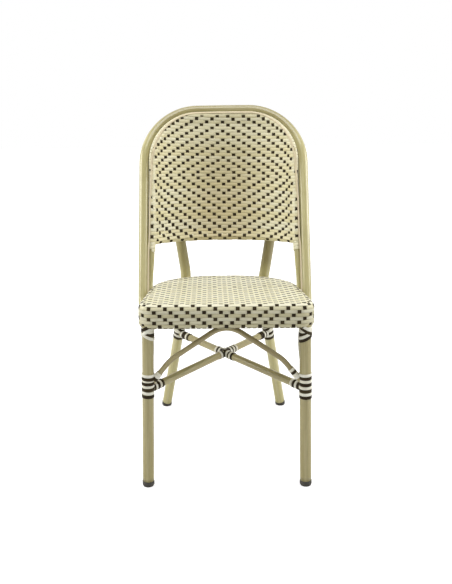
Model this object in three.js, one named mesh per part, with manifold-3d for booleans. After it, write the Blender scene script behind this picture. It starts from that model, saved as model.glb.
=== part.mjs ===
// Rattan bistro chair: a frame of bent, bamboo-painted aluminium tubes with a woven back and seat,
// and two-colour strand bindings round its joints.
// Millimetres, +Z up, the front of the chair faces -Y. While the pieces are made, x is measured from
// the middle of the chair, y from the plane of the front legs and z from the floor.
import * as THREE from "three";
import { mergeVertices } from "three/addons/utils/BufferGeometryUtils.js";
import Module from "manifold-3d";

const wasm = await Module();
wasm.setup();

// Driving dimensions. Angles are in degrees, and shares are parts of the length that they name.
const fitGap = 0.3; // between two pieces that touch
const cutOverrun = 60; // size of a cutting body, well beyond what it cuts
const probeStep = 1; // for measuring the slopes of a surface

// Woven seat: a D in plan, straight in front and round behind, falling a little to the rear.
const seatFrontHeight = 472; // top of the seat at its front edge
const seatFrontY = -20;
const seatDepth = 390;
const seatFrontHalf = 209.3; // half widths of the plan before its corners are rounded
const seatRearHalf = 177.3;
const seatFrontCorner = 38;
const seatRearCorner = 165;
const seatFall = 4.4;
const seatDish = 4; // how far the sheet hangs in the middle
const apronHeight = 57.6;
const apronLip = 13; // how far the weave turns in under the frame
const seatCrestInset = 10; // the apron's edges are rounded over this width
const weaveThickness = 3;
// From the middle of the sheet to its edge: share of the plan, share of the dish
const sheetShares = [[0.02, 1], [0.4, 0.85], [0.75, 0.4]];
// Down the apron, outside and inside: share of the crest's inset, share of the apron's height
const outerEdgeShares = [[1, 0], [0.3, 0.06], [0, 0.2], [0, 0.86], [0.3, 0.96], [1, 1]];
const innerEdgeShares = [[1, 0], [0.3, 0.06], [0, 0.12], [0, 0.86], [0.3, 0.96], [1, 1]];
const seatFrameWidth = 17.6;
const seatFrameWall = 2;
const seatFrameChamfer = 7;
const seatFrameInnerChamfer = 3.5;
const ventDiameter = 6;
const crossbarDiameter = 16;
const crossbarDepth = 28; // from the seat's top to the bars' axes
const crossbarShares = [0.32, 0.62]; // of the seat's depth

// Legs and their glides
const legDiameter = 28;
const legWall = 2;
const frontLegInset = 24.3; // from the seat's widest line to the leg's axis, under the front corner
const frontLegSplay = 1.45;
const rearLegHalf = 106.8; // half the distance between the rear legs, where they pass the seat
const rearLegSplaySide = 9.9;
const rearLegSplayBack = 18.5;
const rearLegBend = 240;
const uprightHoopAngle = 44.3; // place on the hoop's corner where the upright ends
const uprightStop = 4; // short of the hoop's axis
const glideHeight = 14;
const glideProud = 1; // beyond the leg's tube
const glideTaper = 2;
const glideToeHeight = 4;
const glidePlugLength = 22;

// Back: the outer hoop, the ring that carries the weave, and the rail along its lower edge
const hoopDiameter = 25;
const hoopWall = 2;
const hoopSeatShare = 0.551; // of the seat's depth, where the hoop passes the seat
const hoopSeatGap = 5.6;
const hoopRecline = 21;
const hoopTopHeight = 901.1;
const hoopCorner = 137;
const hoopLean = 3; // inward, over the height of a post
const hoopFootGap = 20; // from the binding on the front leg up to where the hoop ends on it
const hoopKneeDrop = 62; // below the seat's top beside it
const hoopShinRiseShare = 0.594; // of the height from that end to the knee
const hoopShinShare = 0.51; // of the way from the front leg to the knee
const hoopKneeBend = 47.5; // length of tube rounded off on each side of a corner
const hoopShinBendShare = 0.65; // of the run below the corner
const backCurveLow = 270; // radius of the back in plan, at its lower edge and at the top
const backCurveTop = 400;
const ringDiameter = 14;
const ringHoopGap = 0.6;
const ringTopDrop = 12.3; // the ring's top lies this much below the hoop's
const ringForward = 16; // and this much in front of the back's surface
const ringForwardStart = 700;
const ringFootDrop = 4; // end of the ring below the seat's top edge
const ringFootOut = 6.5;
const ringFootBack = 14;
const ringFootHeight = 85; // over which the foot swings out and back
const railDiameter = 10;
const railHeight = 559.5;
const railRise = 9; // at the ends
const backWeaveThickness = 3;
const sleeveThickness = 1.6;
const sleeveTail = 14; // the wrapping of the ring goes on below the rail
const stripWidth = 5;
const stripThickness = 1.6;
const stripAngle = 29; // round the ring, from its front towards the hoop

// Brace and stretchers under the seat
const archDiameter = 12.7;
const archFootRise = 5; // from the stretchers' front ends to where its axis meets the front leg's
const archKneeRise = 69.5; // from there to the knee
const archKneeInset = 55; // from the front leg's axis
const archKneeBend = 14; // length of tube rounded off on each side of a corner
const archTopBend = 46;
const archCrownSeat = 0.7; // rise of its crown into the bevel along the seat frame's inner edge
const stretcherDiameter = 19;
const stretcherWall = 2;
const stretcherFrontHeight = 257;
const stretcherRearHeight = 262;

// Bindings: a black and a cream strand wound side by side
const strandWidth = 6.5;
const strandThickness = 1.6;
const strandPitch = 7.1; // from one strand to its neighbour
const levelShare = 0.3; // of a turn on each side of the front, where a strand runs level
const legBindingRise = 39; // from the stretcher's axis up to the top of the binding
const legBindingBands = 4; // of each strand, seen from the front
const cornerBindingGap = 2; // below the apron
const cornerBindingBands = 3;
const rearBindingRise = 28;
const rearBindingBands = 3;
const stretcherFrontBands = 3;
const stretcherRearBands = 2;
const archBands = 2;
const crossBands = { left: { rear: 1, front: 1 }, right: { rear: 3, front: 1 } };

// Fineness of the faceted shapes
const tubeSides = 12;
const smallSides = 8;
const legSides = 16;
const legTurnSteps = 14;
const smallTurnSteps = 12;
const crownPasses = 8;
const frontCornerSteps = 5;
const rearCornerSteps = 8;
const hoopSteps = 48;
const ringSteps = 40;
const railSteps = 12;
const rearLegSteps = 10;
const archSteps = 24;
const lowerHoopPoints = 24;
const ringSidePoints = 16;
const railPoints = 8;
const bendPoints = 10;
const topShares = [0.66, 0.33, 0]; // of the half width, from the hoop's corner to its middle
const panelColumns = 10;
const panelRows = 4;
const panelArcRows = 5;

const paintedTube = { color: 0xaaa270, roughness: 0.45, metalness: 0.1 };
const paintedLeg = { color: 0xa59b69, roughness: 0.45, metalness: 0.1 };
const innerMetal = { color: 0xb9bcbf, roughness: 0.5, metalness: 0.9 };
const creamStrand = { color: 0xd6cba8, roughness: 0.6, metalness: 0 };
const blackStrand = { color: 0x2c2620, roughness: 0.55, metalness: 0 };
const glidePlastic = { color: 0x2a2521, roughness: 0.6, metalness: 0 };

const radians = THREE.MathUtils.degToRad;
const vector = (x, y, z) => new THREE.Vector3(x, y, z);
const sides = { left: -1, right: 1 };

// Solids

function toSolid(geometry) {
  const bare = geometry.index ? geometry.toNonIndexed() : geometry.clone();
  bare.deleteAttribute("normal");
  bare.deleteAttribute("uv");
  const merged = mergeVertices(bare);
  return new wasm.Manifold(new wasm.Mesh({
    numProp: 3,
    vertProperties: new Float32Array(merged.attributes.position.array),
    triVerts: new Uint32Array(merged.index.array),
  }));
}

function toGeometry(solid) {
  const mesh = solid.getMesh();
  const geometry = new THREE.BufferGeometry();
  geometry.setAttribute("position", new THREE.BufferAttribute(new Float32Array(mesh.vertProperties), 3));
  geometry.setIndex(new THREE.BufferAttribute(new Uint32Array(mesh.triVerts), 1));
  return geometry;
}

function cut(solid, ...cutters) {
  return cutters.reduce((left, cutter) => left.subtract(cutter), solid);
}

// A tube along a curve, open at both ends when it has a bore.
function tubeAlong(curve, steps, radius, bore = 0, count = tubeSides) {
  const section = new THREE.Shape();
  section.absarc(0, 0, radius, 0, Math.PI * 2);
  if (bore > 0) {
    const hole = new THREE.Path();
    hole.absarc(0, 0, bore, 0, Math.PI * 2, true);
    section.holes.push(hole);
  }
  const geometry = new THREE.ExtrudeGeometry(section, {
    steps, extrudePath: curve, bevelEnabled: false, curveSegments: count / 2,
  });
  return toSolid(geometry);
}

function rod(from, to, radius, bore = 0, count = tubeSides) {
  return tubeAlong(new THREE.LineCurve3(from, to), 1, radius, bore, count);
}

// A closed surface from rings of equal length: capped at both ends, or joined into a ring.
function loft(rings, joined = false) {
  const count = rings[0].length;
  const positions = rings.flat().flatMap((point) => point.toArray());
  const triangles = [];
  const last = joined ? rings.length : rings.length - 1;
  for (let ring = 0; ring < last; ring += 1) {
    const next = (ring + 1) % rings.length;
    for (let i = 0; i < count; i += 1) {
      const j = (i + 1) % count;
      const [a, b] = [ring * count + i, ring * count + j];
      const [c, d] = [next * count + i, next * count + j];
      triangles.push(a, b, d, a, d, c);
    }
  }
  if (!joined) {
    for (let i = 1; i < count - 1; i += 1) {
      const base = last * count;
      triangles.push(0, i + 1, i, base, base + i, base + i + 1);
    }
  }
  const geometry = new THREE.BufferGeometry();
  geometry.setAttribute("position", new THREE.Float32BufferAttribute(positions, 3));
  geometry.setIndex(triangles);
  return toSolid(geometry);
}

// Straight runs between the given points, with each inner point rounded over the given length.
function roundedPath(points, bends) {
  const path = new THREE.CurvePath();
  let from = points[0];
  points.slice(1, -1).forEach((corner, i) => {
    const before = corner.clone().sub(points[i]).normalize();
    const after = points[i + 2].clone().sub(corner).normalize();
    const start = corner.clone().addScaledVector(before, -bends[i]);
    const end = corner.clone().addScaledVector(after, bends[i]);
    path.add(new THREE.LineCurve3(from, start));
    path.add(new THREE.QuadraticBezierCurve3(start, corner, end));
    from = end;
  });
  path.add(new THREE.LineCurve3(from, points[points.length - 1]));
  return path;
}

// Both halves of a symmetric piece from the points of its left half, which run up to the middle.
function mirroredCurve(half) {
  const right = half.slice(0, -1).reverse().map((point) => vector(-point.x, point.y, point.z));
  return new THREE.CatmullRomCurve3([...half, ...right], false, "centripetal");
}

const chair = new THREE.Group();

function addPiece(name, solid, look) {
  const mesh = new THREE.Mesh(toGeometry(solid), new THREE.MeshStandardMaterial(look));
  mesh.name = name;
  chair.add(mesh);
}

// Places that several pieces share

const seatRearY = seatFrontY + seatDepth;
const sideAngle = Math.atan2(seatFrontHalf - seatRearHalf, seatDepth);
const sideNormal = new THREE.Vector2(Math.cos(sideAngle), Math.sin(sideAngle));
const sideReach = sideNormal.dot(new THREE.Vector2(seatFrontHalf, seatFrontY));

function seatTopAt(y) {
  return seatFrontHeight - Math.tan(radians(seatFall)) * (y - seatFrontY);
}

function seatHalfAt(y) {
  return (sideReach - sideNormal.y * y) / sideNormal.x;
}

// Centre of the round corner that touches the seat's side line and a straight line across at edgeY.
function cornerCentre(radius, edgeY, inward) {
  const y = edgeY + inward * radius;
  return new THREE.Vector2((sideReach - radius - sideNormal.y * y) / sideNormal.x, y);
}

const frontCorner = cornerCentre(seatFrontCorner, seatFrontY, 1);
const rearCorner = cornerCentre(seatRearCorner, seatRearY, -1);

// The seat's plan, moved in by inset, anticlockwise from the front.
function seatPlan(inset) {
  const half = [];
  const arc = (centre, radius, from, to, steps) => {
    for (let i = 0; i <= steps; i += 1) {
      const angle = from + ((to - from) * i) / steps;
      const outward = new THREE.Vector2(Math.cos(angle), Math.sin(angle));
      half.push(outward.multiplyScalar(radius - inset).add(centre));
    }
  };
  arc(frontCorner, seatFrontCorner, -Math.PI / 2, sideAngle, frontCornerSteps);
  arc(rearCorner, seatRearCorner, sideAngle, Math.PI / 2, rearCornerSteps);
  const mirrored = half.map((point) => new THREE.Vector2(-point.x, point.y)).reverse();
  return [...half, ...mirrored];
}

// A ring of points round the seat, at a depth below its sloping top.
function seatRing(inset, depth, scale = 1) {
  const middle = new THREE.Vector2(0, seatFrontY + seatDepth / 2);
  return seatPlan(inset).map((point) => {
    const place = point.sub(middle).multiplyScalar(scale).add(middle);
    return vector(place.x, place.y, seatTopAt(place.y) - depth);
  });
}

const frameInset = weaveThickness + fitGap;
const frameTopDepth = frameInset;
const frameBottomDepth = apronHeight - frameInset;

// Front legs: straight, a little wider apart at the floor.
const legRadius = legDiameter / 2;
const frontLegTopZ = seatTopAt(0) - frameBottomDepth;
const frontLegTopX = seatFrontHalf - frontLegInset;
function frontLegAt(z) {
  return vector(frontLegTopX + Math.tan(radians(frontLegSplay)) * (frontLegTopZ - z), 0, z);
}

// Rear legs: they touch the seat frame's round rear corner, splay out to the floor and back.
const rearTouch = seatRearCorner - frameInset + legRadius + fitGap;
const rearLegSine = (rearLegHalf - rearCorner.x) / rearTouch;
const rearLegY = rearCorner.y + rearTouch * Math.sqrt(1 - rearLegSine * rearLegSine);
const rearLegZ = seatTopAt(rearLegY) - apronHeight / 2;
function rearLegFromKnee(knee, z) {
  const drop = knee.z - z;
  return vector(
    knee.x + Math.tan(radians(rearLegSplaySide)) * drop,
    knee.y + Math.tan(radians(rearLegSplayBack)) * drop,
    z,
  );
}

// Back: the line of the posts seen from the side, and how the back curves in plan.
const hoopRadius = hoopDiameter / 2;
const ringRadius = ringDiameter / 2;
const hoopSeatY = seatFrontY + seatDepth * hoopSeatShare;
const hoopSeatZ = seatTopAt(hoopSeatY);
const hoopHalf = seatHalfAt(hoopSeatY) + hoopSeatGap + hoopRadius;
const hoopTopZ = hoopTopHeight - hoopRadius;
const reclineCos = Math.cos(radians(hoopRecline));
const hoopCornerZ = hoopTopZ - hoopCorner * reclineCos;
const hoopShoulderHalf = hoopHalf - hoopLean;
const ringOffset = hoopRadius + ringRadius + fitGap + sleeveThickness + ringHoopGap;
const planShare = hoopShoulderHalf / (hoopShoulderHalf - ringOffset);

function postLineY(z) {
  return hoopSeatY + Math.tan(radians(hoopRecline)) * (z - hoopSeatZ);
}

function postHalfAt(z) {
  return hoopHalf - (hoopLean * (z - hoopSeatZ)) / (hoopCornerZ - hoopSeatZ);
}

// How far the back bulges to the rear, from its sides to its middle, where the hoop has half width x.
function bulge(x, z) {
  const rise = THREE.MathUtils.clamp((z - railHeight) / (hoopTopZ - railHeight), 0, 1);
  const radius = backCurveLow + (backCurveTop - backCurveLow) * rise * rise * rise;
  const reach = Math.min(Math.abs(x), hoopShoulderHalf);
  return Math.sqrt(radius ** 2 - reach ** 2) - Math.sqrt(radius ** 2 - hoopShoulderHalf ** 2);
}

function hoopCornerAt(angle) {
  const x = hoopShoulderHalf - hoopCorner + hoopCorner * Math.cos(angle);
  const z = hoopCornerZ + hoopCorner * reclineCos * Math.sin(angle);
  return vector(-x, postLineY(z) + bulge(x, z), z);
}

const ringTopZ = hoopTopZ - ringTopDrop;
const ringCorner = hoopCorner - ringOffset;
const ringCornerX = hoopShoulderHalf - hoopCorner;
const ringCornerZ = ringTopZ - ringCorner * reclineCos;

// The middle surface of the woven back.
function backSurface(x, z) {
  const forward = THREE.MathUtils.smoothstep(z, ringForwardStart, ringTopZ) * ringForward;
  return vector(x, postLineY(z) + bulge(x * planShare, z) - forward, z);
}

function ringHalfAt(z) {
  if (z <= ringCornerZ) {
    return postHalfAt(z) - ringOffset;
  }
  const sine = Math.min(1, (z - ringCornerZ) / (ringCorner * reclineCos));
  return ringCornerX + ringCorner * Math.sqrt(1 - sine * sine);
}

// Curves of the bent tubes

function hoopCurve() {
  const footHeight = stretcherFrontHeight + legBindingRise + hoopFootGap;
  const foot = frontLegAt(footHeight);
  const kneeZ = hoopSeatZ - hoopKneeDrop;
  const knee = vector(-hoopHalf, postLineY(kneeZ), kneeZ);
  const start = vector(-foot.x, 0, footHeight);
  const shinZ = THREE.MathUtils.lerp(footHeight, kneeZ, hoopShinRiseShare);
  const shin = vector(-foot.x, knee.y * hoopShinShare, shinZ);
  const postTop = vector(-hoopShoulderHalf, postLineY(hoopCornerZ), hoopCornerZ);
  const shinBend = start.distanceTo(shin) * hoopShinBendShare;
  const lower = roundedPath([start, shin, knee, postTop], [shinBend, hoopKneeBend]);
  const half = lower.getSpacedPoints(lowerHoopPoints).slice(0, -1);
  for (let i = 0; i <= bendPoints; i += 1) {
    half.push(hoopCornerAt((Math.PI / 2) * (i / bendPoints)));
  }
  for (const share of topShares) {
    const x = ringCornerX * share;
    half.push(vector(-x, postLineY(hoopTopZ) + bulge(x, hoopTopZ), hoopTopZ));
  }
  return mirroredCurve(half);
}

// The ring from a start height up over the top and down again. Its feet, below the weave, swing out
// behind the hoop.
function ringCurve(start, swinging = 1) {
  const footTop = railHeight - sleeveTail;
  const half = [];
  for (let i = 0; i < ringSidePoints; i += 1) {
    const z = start + ((ringCornerZ - start) * i) / ringSidePoints;
    const swing = swinging * (1 - THREE.MathUtils.smoothstep(z, footTop - ringFootHeight, footTop));
    const x = ringHalfAt(z);
    half.push(vector(-x - ringFootOut * swing, backSurface(x, z).y + ringFootBack * swing, z));
  }
  for (let i = 0; i <= bendPoints; i += 1) {
    const angle = (Math.PI / 2) * (i / bendPoints);
    const x = ringCornerX + ringCorner * Math.cos(angle);
    half.push(backSurface(-x, ringCornerZ + ringCorner * reclineCos * Math.sin(angle)));
  }
  for (const share of topShares) {
    half.push(backSurface(-ringCornerX * share, ringTopZ));
  }
  return mirroredCurve(half);
}

function railAt(share) {
  const z = railHeight + railRise * share * share;
  return backSurface(share * ringHalfAt(z), z);
}

function railCurve() {
  const half = [];
  for (let i = 0; i <= railPoints; i += 1) {
    half.push(railAt(i / railPoints - 1));
  }
  return mirroredCurve(half);
}

const ringFootZ = seatTopAt(hoopSeatY) - ringFootDrop;
const hoopPath = hoopCurve();
const ringPath = ringCurve(ringFootZ);
const sleevePath = ringCurve(railHeight - sleeveTail);
const stripPath = ringCurve(ringFootZ, 0);
const railPath = railCurve();

// Rear leg's knee: moved by what the bend takes off the corner, so that the tube meets the frame.
function rearLegPoints(side) {
  const hoopEnd = hoopCornerAt(radians(uprightHoopAngle));
  const top = vector(-hoopEnd.x, hoopEnd.y, hoopEnd.z);
  let knee = vector(rearLegHalf, rearLegY, rearLegZ);
  const floor = rearLegFromKnee(knee, 0);
  const bendIn = floor.clone().sub(knee).normalize().add(top.clone().sub(knee).normalize());
  const sine = bendIn.length() / 2;
  const shift = rearLegBend * (1 / Math.sqrt(1 - sine * sine) - 1);
  knee = knee.clone().addScaledVector(bendIn.setZ(0).normalize(), -shift);
  const points = [rearLegFromKnee(knee, 0), knee, alongLine(top, knee, uprightStop)];
  return points.map((point) => vector(side * point.x, point.y, point.z));
}

function alongLine(from, to, distance) {
  return from.clone().addScaledVector(to.clone().sub(from).normalize(), distance);
}

function rearLegAt(side, z) {
  const [foot, knee] = rearLegPoints(side);
  return foot.clone().lerp(knee, (z - foot.z) / (knee.z - foot.z));
}

// Seat

// The closed section of the seat frame's tube, as inset and depth pairs, moved out by grow.
function frameSection(grow) {
  const [outer, inner] = [frameInset - grow, frameInset + seatFrameWidth + grow];
  const [top, bottom] = [frameTopDepth - grow, frameBottomDepth + grow];
  const [bevel, innerBevel] = [seatFrameChamfer, seatFrameInnerChamfer];
  return [
    [outer + bevel, top], [outer, top + bevel], [outer, bottom - bevel], [outer + bevel, bottom],
    [inner - innerBevel, bottom], [inner, bottom - bevel], [inner, top + bevel], [inner - innerBevel, top],
  ];
}

function frameRing(grow) {
  return loft(frameSection(grow).reverse().map(([inset, depth]) => seatRing(inset, depth)), true);
}

function seatFrame() {
  const y = seatRearY - frameInset - seatFrameWidth;
  const z = seatTopAt(y) - (frameTopDepth + frameBottomDepth) / 2;
  const reach = seatFrameWall * 2;
  const vent = rod(vector(0, y - reach, z), vector(0, y + reach, z), ventDiameter / 2);
  return cut(frameRing(0), frameRing(-seatFrameWall), vent);
}

// Rings from the middle of the seat over its edge and down, at a depth under its outside.
function seatSkin(depth, edgeShares) {
  const sheet = sheetShares.map(([plan, dish]) => seatRing(seatCrestInset, seatDish * dish + depth, plan));
  const inset = seatCrestInset - depth;
  const height = apronHeight - depth * 2;
  const edge = edgeShares.map(([crest, drop]) => seatRing(depth + inset * crest, depth + height * drop));
  return [...sheet, ...edge];
}

function seatWeave() {
  const outside = seatSkin(0, outerEdgeShares);
  const inside = seatSkin(weaveThickness, innerEdgeShares).reverse();
  const lip = [seatRing(apronLip, apronHeight), seatRing(apronLip, apronHeight - weaveThickness)];
  return loft([...outside, ...lip, ...inside].reverse());
}

// The seat's outside as a filled body, for cutting what stands on it.
function seatCutter() {
  return loft(seatSkin(-fitGap, outerEdgeShares).reverse());
}

function crossbar(share) {
  const y = seatFrontY + seatDepth * share;
  const z = seatTopAt(y) - crossbarDepth;
  const half = seatHalfAt(y) - frameInset - seatFrameWidth / 2;
  return cut(rod(vector(-half, y, z), vector(half, y, z), crossbarDiameter / 2), frameRing(fitGap));
}

// Legs

function frontLegTube(side, radius, bore, bottom) {
  const top = frontLegAt(seatTopAt(0) - apronHeight / 2);
  const [from, to] = [frontLegAt(bottom), top];
  return rod(vector(side * from.x, 0, from.z), vector(side * to.x, 0, to.z), radius, bore, legSides);
}

function rearLegTube(side, radius, bore) {
  const [foot, knee, top] = rearLegPoints(side);
  const turn = knee.clone().sub(foot).angleTo(top.clone().sub(knee));
  const bend = rearLegBend * Math.tan(turn / 2);
  const path = roundedPath([alongLine(foot, knee, glideHeight + fitGap), knee, top], [bend]);
  return tubeAlong(path, rearLegSteps, radius, bore, tubeSides);
}

// A glide: a tapered cap under the leg with a plug that goes up the tube, cut flat at the floor.
function glide(foot, up) {
  const direction = up.clone().sub(foot).normalize();
  const head = legRadius + glideProud;
  const plug = (legRadius - legWall) * Math.cos(Math.PI / tubeSides) - fitGap;
  const profile = [
    [0, -glideHeight], [head - glideTaper, -glideHeight], [head - glideTaper, 0], [head, glideToeHeight],
    [head, glideHeight - glideProud], [legRadius, glideHeight], [plug, glideHeight],
    [plug, glideHeight + glidePlugLength - glideTaper], [plug - glideTaper, glideHeight + glidePlugLength],
    [0, glideHeight + glidePlugLength],
  ];
  const lathe = new THREE.LatheGeometry(profile.map(([x, y]) => new THREE.Vector2(x, y)), tubeSides);
  const turn = new THREE.Quaternion().setFromUnitVectors(vector(0, 1, 0), direction);
  lathe.applyQuaternion(turn);
  lathe.translate(foot.x, foot.y, foot.z);
  const below = new THREE.BoxGeometry(cutOverrun, cutOverrun, cutOverrun);
  below.translate(foot.x, foot.y, -cutOverrun / 2);
  return cut(toSolid(lathe), toSolid(below));
}

// Woven back

function backPanel() {
  const levels = [];
  for (let i = 0; i < panelRows; i += 1) {
    levels.push((share) => THREE.MathUtils.lerp(railAt(share).z, ringCornerZ, i / panelRows));
  }
  for (let i = 0; i <= panelArcRows; i += 1) {
    const rise = Math.sin((Math.PI / 2) * (i / panelArcRows));
    levels.push(() => THREE.MathUtils.lerp(ringCornerZ, ringTopZ, rise));
  }
  const skin = (offset) => levels.map((level) => {
    const row = [];
    for (let i = 0; i <= panelColumns; i += 1) {
      const share = (2 * i) / panelColumns - 1;
      const z = level(share);
      row.push(offsetFromBack(share * ringHalfAt(z), z, offset));
    }
    return row;
  });
  const back = skin(-backWeaveThickness / 2);
  const front = skin(backWeaveThickness / 2);
  return loft(back.map((row, i) => [...row, ...front[i].slice().reverse()]));
}

// A point in front of the back's middle surface, or behind it when offset is negative.
function offsetFromBack(x, z, offset) {
  const across = backSurface(x + probeStep, z).sub(backSurface(x - probeStep, z));
  const along = backSurface(x, z + probeStep).sub(backSurface(x, z - probeStep));
  return backSurface(x, z).addScaledVector(along.cross(across).normalize(), offset);
}

function backWeave(cutters) {
  const sleeveRadius = ringRadius + fitGap + sleeveThickness;
  const sleeve = tubeAlong(sleevePath, ringSteps, sleeveRadius, 0, smallSides);
  const hem = tubeAlong(railPath, railSteps, railDiameter / 2 + fitGap + sleeveThickness, 0, smallSides);
  return cut(backPanel().add(sleeve).add(hem), ...cutters);
}

const stripFocusZ = (ringCornerZ + railHeight) / 2;

// The flat cane strip over the joint between the hoop and the woven ring.
function edgeStrip() {
  const angle = radians(stripAngle);
  const wrapTop = railHeight - sleeveTail;
  const rings = [];
  for (let i = 0; i <= ringSteps; i += 1) {
    const share = i / ringSteps;
    const centre = stripPath.getPointAt(share);
    const tangent = stripPath.getTangentAt(share);
    const hoopward = new THREE.Vector3();
    hoopward.subVectors(centre, vector(0, centre.y, stripFocusZ)).projectOnPlane(tangent).normalize();
    const forward = new THREE.Vector3().crossVectors(tangent, hoopward).normalize();
    forward.multiplyScalar(-Math.sign(forward.y));
    const out = hoopward.clone().multiplyScalar(Math.sin(angle)).addScaledVector(forward, Math.cos(angle));
    const across = new THREE.Vector3().crossVectors(out, tangent).normalize();
    const wrapped = THREE.MathUtils.smoothstep(centre.z, wrapTop - sleeveTail * 2, wrapTop - sleeveTail);
    const base = ringRadius + fitGap * 2 + (sleeveThickness + fitGap) * wrapped;
    const corner = (w, t) => centre.clone().addScaledVector(out, base + t).addScaledVector(across, w);
    const half = stripWidth / 2;
    rings.push([
      corner(-half, 0), corner(half, 0), corner(half, stripThickness), corner(-half, stripThickness),
    ]);
  }
  return loft(rings);
}

// Bindings

// How far a strand has climbed, in leads, after a number of turns: level in front, rising behind.
function climbed(turn) {
  const whole = Math.floor(turn + levelShare);
  const rise = THREE.MathUtils.smoothstep(turn - whole, levelShare, 1 - levelShare);
  return whole + Math.max(0, rise);
}

// One strand wound round a straight tube: unbroken, flat in section. It starts and ends beside the
// front, which is the side that facing points to, and shows the given number of bands there.
function woundStrand(name, tube, start, bands) {
  const axis = tube.axis.clone().normalize();
  const facing = tube.facing.clone().projectOnPlane(axis).normalize();
  const beside = new THREE.Vector3().crossVectors(axis, facing);
  const inside = (tube.radius + fitGap) / Math.cos(Math.PI / tube.steps);
  const lead = strandPitch * 2;
  const turns = bands - 1 + levelShare * 2;
  const count = Math.round(turns * tube.steps);
  const rings = [];
  for (let i = 0; i <= count; i += 1) {
    const turn = (turns * i) / count - levelShare;
    const angle = turn * Math.PI * 2;
    const out = facing.clone().multiplyScalar(Math.cos(angle)).addScaledVector(beside, Math.sin(angle));
    const height = start + strandPitch / 2 + lead * climbed(turn);
    const centre = tube.origin.clone().addScaledVector(axis, height);
    const corner = (w, t) => centre.clone().addScaledVector(axis, w).addScaledVector(out, inside + t);
    const half = strandWidth / 2;
    rings.push([
      corner(-half, 0), corner(half, 0), corner(half, strandThickness), corner(-half, strandThickness),
    ]);
  }
  reportGap(name, rings, tube.steps);
  return loft(rings);
}

// Least distance between the points of a turn and those of the next one.
function reportGap(name, rings, steps) {
  let least = Infinity;
  for (let i = 0; i + steps < rings.length; i += 1) {
    for (const point of rings[i]) {
      for (const other of rings[i + steps]) {
        least = Math.min(least, point.distanceTo(other));
      }
    }
  }
  if (least < Infinity) {
    console.log(`${name}: least gap to itself ${least.toFixed(2)} mm`);
  }
}

// A cream strand and a black one side by side.
function binding(name, tube, start, bands) {
  const strands = [["cream", creamStrand], ["black", blackStrand]];
  strands.forEach(([tone, look], i) => {
    const full = `${name}_${tone}`;
    addPiece(full, woundStrand(full, tube, start + strandPitch * i, bands), look);
  });
}

// How far a bound tube reaches from its axis, with room for what meets it.
function boundRadius(tubeRadius, steps) {
  const facet = Math.cos(Math.PI / steps);
  return ((tubeRadius + fitGap) / facet + strandThickness) / facet + fitGap;
}

const boundReach = boundRadius(legRadius, smallTurnSteps) / Math.cos(Math.PI / legSides);

// Assembly

const ringCutter = tubeAlong(ringPath, ringSteps, ringRadius + fitGap, 0, smallSides);
const railCutter = tubeAlong(railPath, railSteps, railDiameter / 2 + fitGap, 0, smallSides);
const hoopCutter = tubeAlong(hoopPath, hoopSteps, hoopRadius + fitGap);
const frameCutter = frameRing(fitGap);
const weave = seatWeave();

const frontCutters = [];
const rearCutters = [];
const boundFront = {};
const boundRear = {};
for (const [sideName, side] of Object.entries(sides)) {
  frontCutters.push(frontLegTube(side, legRadius + fitGap, 0, 0));
  rearCutters.push(rearLegTube(side, legRadius + fitGap, 0));
  boundFront[sideName] = frontLegTube(side, boundReach, 0, 0);
  const [foot, knee] = rearLegPoints(side);
  boundRear[sideName] = rod(foot, knee, boundReach, 0, legSides);
}

const hoop = tubeAlong(hoopPath, hoopSteps, hoopRadius, hoopRadius - hoopWall);
addPiece("back_hoop", cut(hoop, ...frontCutters), paintedTube);
const ring = tubeAlong(ringPath, ringSteps, ringRadius, 0, smallSides);
addPiece("weave_ring", cut(ring, frameCutter), paintedTube);
const rail = tubeAlong(railPath, railSteps, railDiameter / 2, 0, smallSides);
addPiece("back_rail", cut(rail, ringCutter), innerMetal);
addPiece("back_weave", backWeave([ringCutter, railCutter, ...rearCutters]), creamStrand);
addPiece("edge_strip", cut(edgeStrip(), seatCutter()), creamStrand);

addPiece("seat_frame", seatFrame(), innerMetal);
addPiece("seat_crossbar_front", crossbar(crossbarShares[0]), innerMetal);
addPiece("seat_crossbar_rear", crossbar(crossbarShares[1]), innerMetal);
addPiece("seat_weave", cut(weave, ringCutter, ...frontCutters, ...rearCutters), creamStrand);

for (const [sideName, side] of Object.entries(sides)) {
  const bottom = glideHeight + fitGap;
  const front = frontLegTube(side, legRadius, legRadius - legWall, bottom);
  addPiece(`front_leg_${sideName}`, cut(front, frameCutter), paintedLeg);
  const rear = rearLegTube(side, legRadius, legRadius - legWall);
  addPiece(`rear_leg_${sideName}`, cut(rear, frameCutter, hoopCutter), paintedLeg);
  const frontFoot = frontLegAt(0);
  const frontTop = frontLegAt(frontLegTopZ);
  const placed = (point) => vector(side * point.x, point.y, point.z);
  addPiece(`glide_front_${sideName}`, glide(placed(frontFoot), placed(frontTop)), glidePlastic);
  const [foot, knee] = rearLegPoints(side);
  addPiece(`glide_rear_${sideName}`, glide(foot, knee), glidePlastic);
}

addStretchers();
addArch();
addBindings();

// Ends of the stretchers: on the axis of a front leg and of the opposite rear leg.
function stretcherEnds(side) {
  const front = frontLegAt(stretcherFrontHeight);
  return [vector(side * front.x, 0, front.z), rearLegAt(-side, stretcherRearHeight)];
}

function stretcherLine(side) {
  const [front, rear] = stretcherEnds(side);
  return rear.clone().sub(front);
}

function stretcherMeeting() {
  const [front, rear] = stretcherEnds(-1);
  return front.clone().lerp(rear, front.x / (front.x - rear.x));
}

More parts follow.
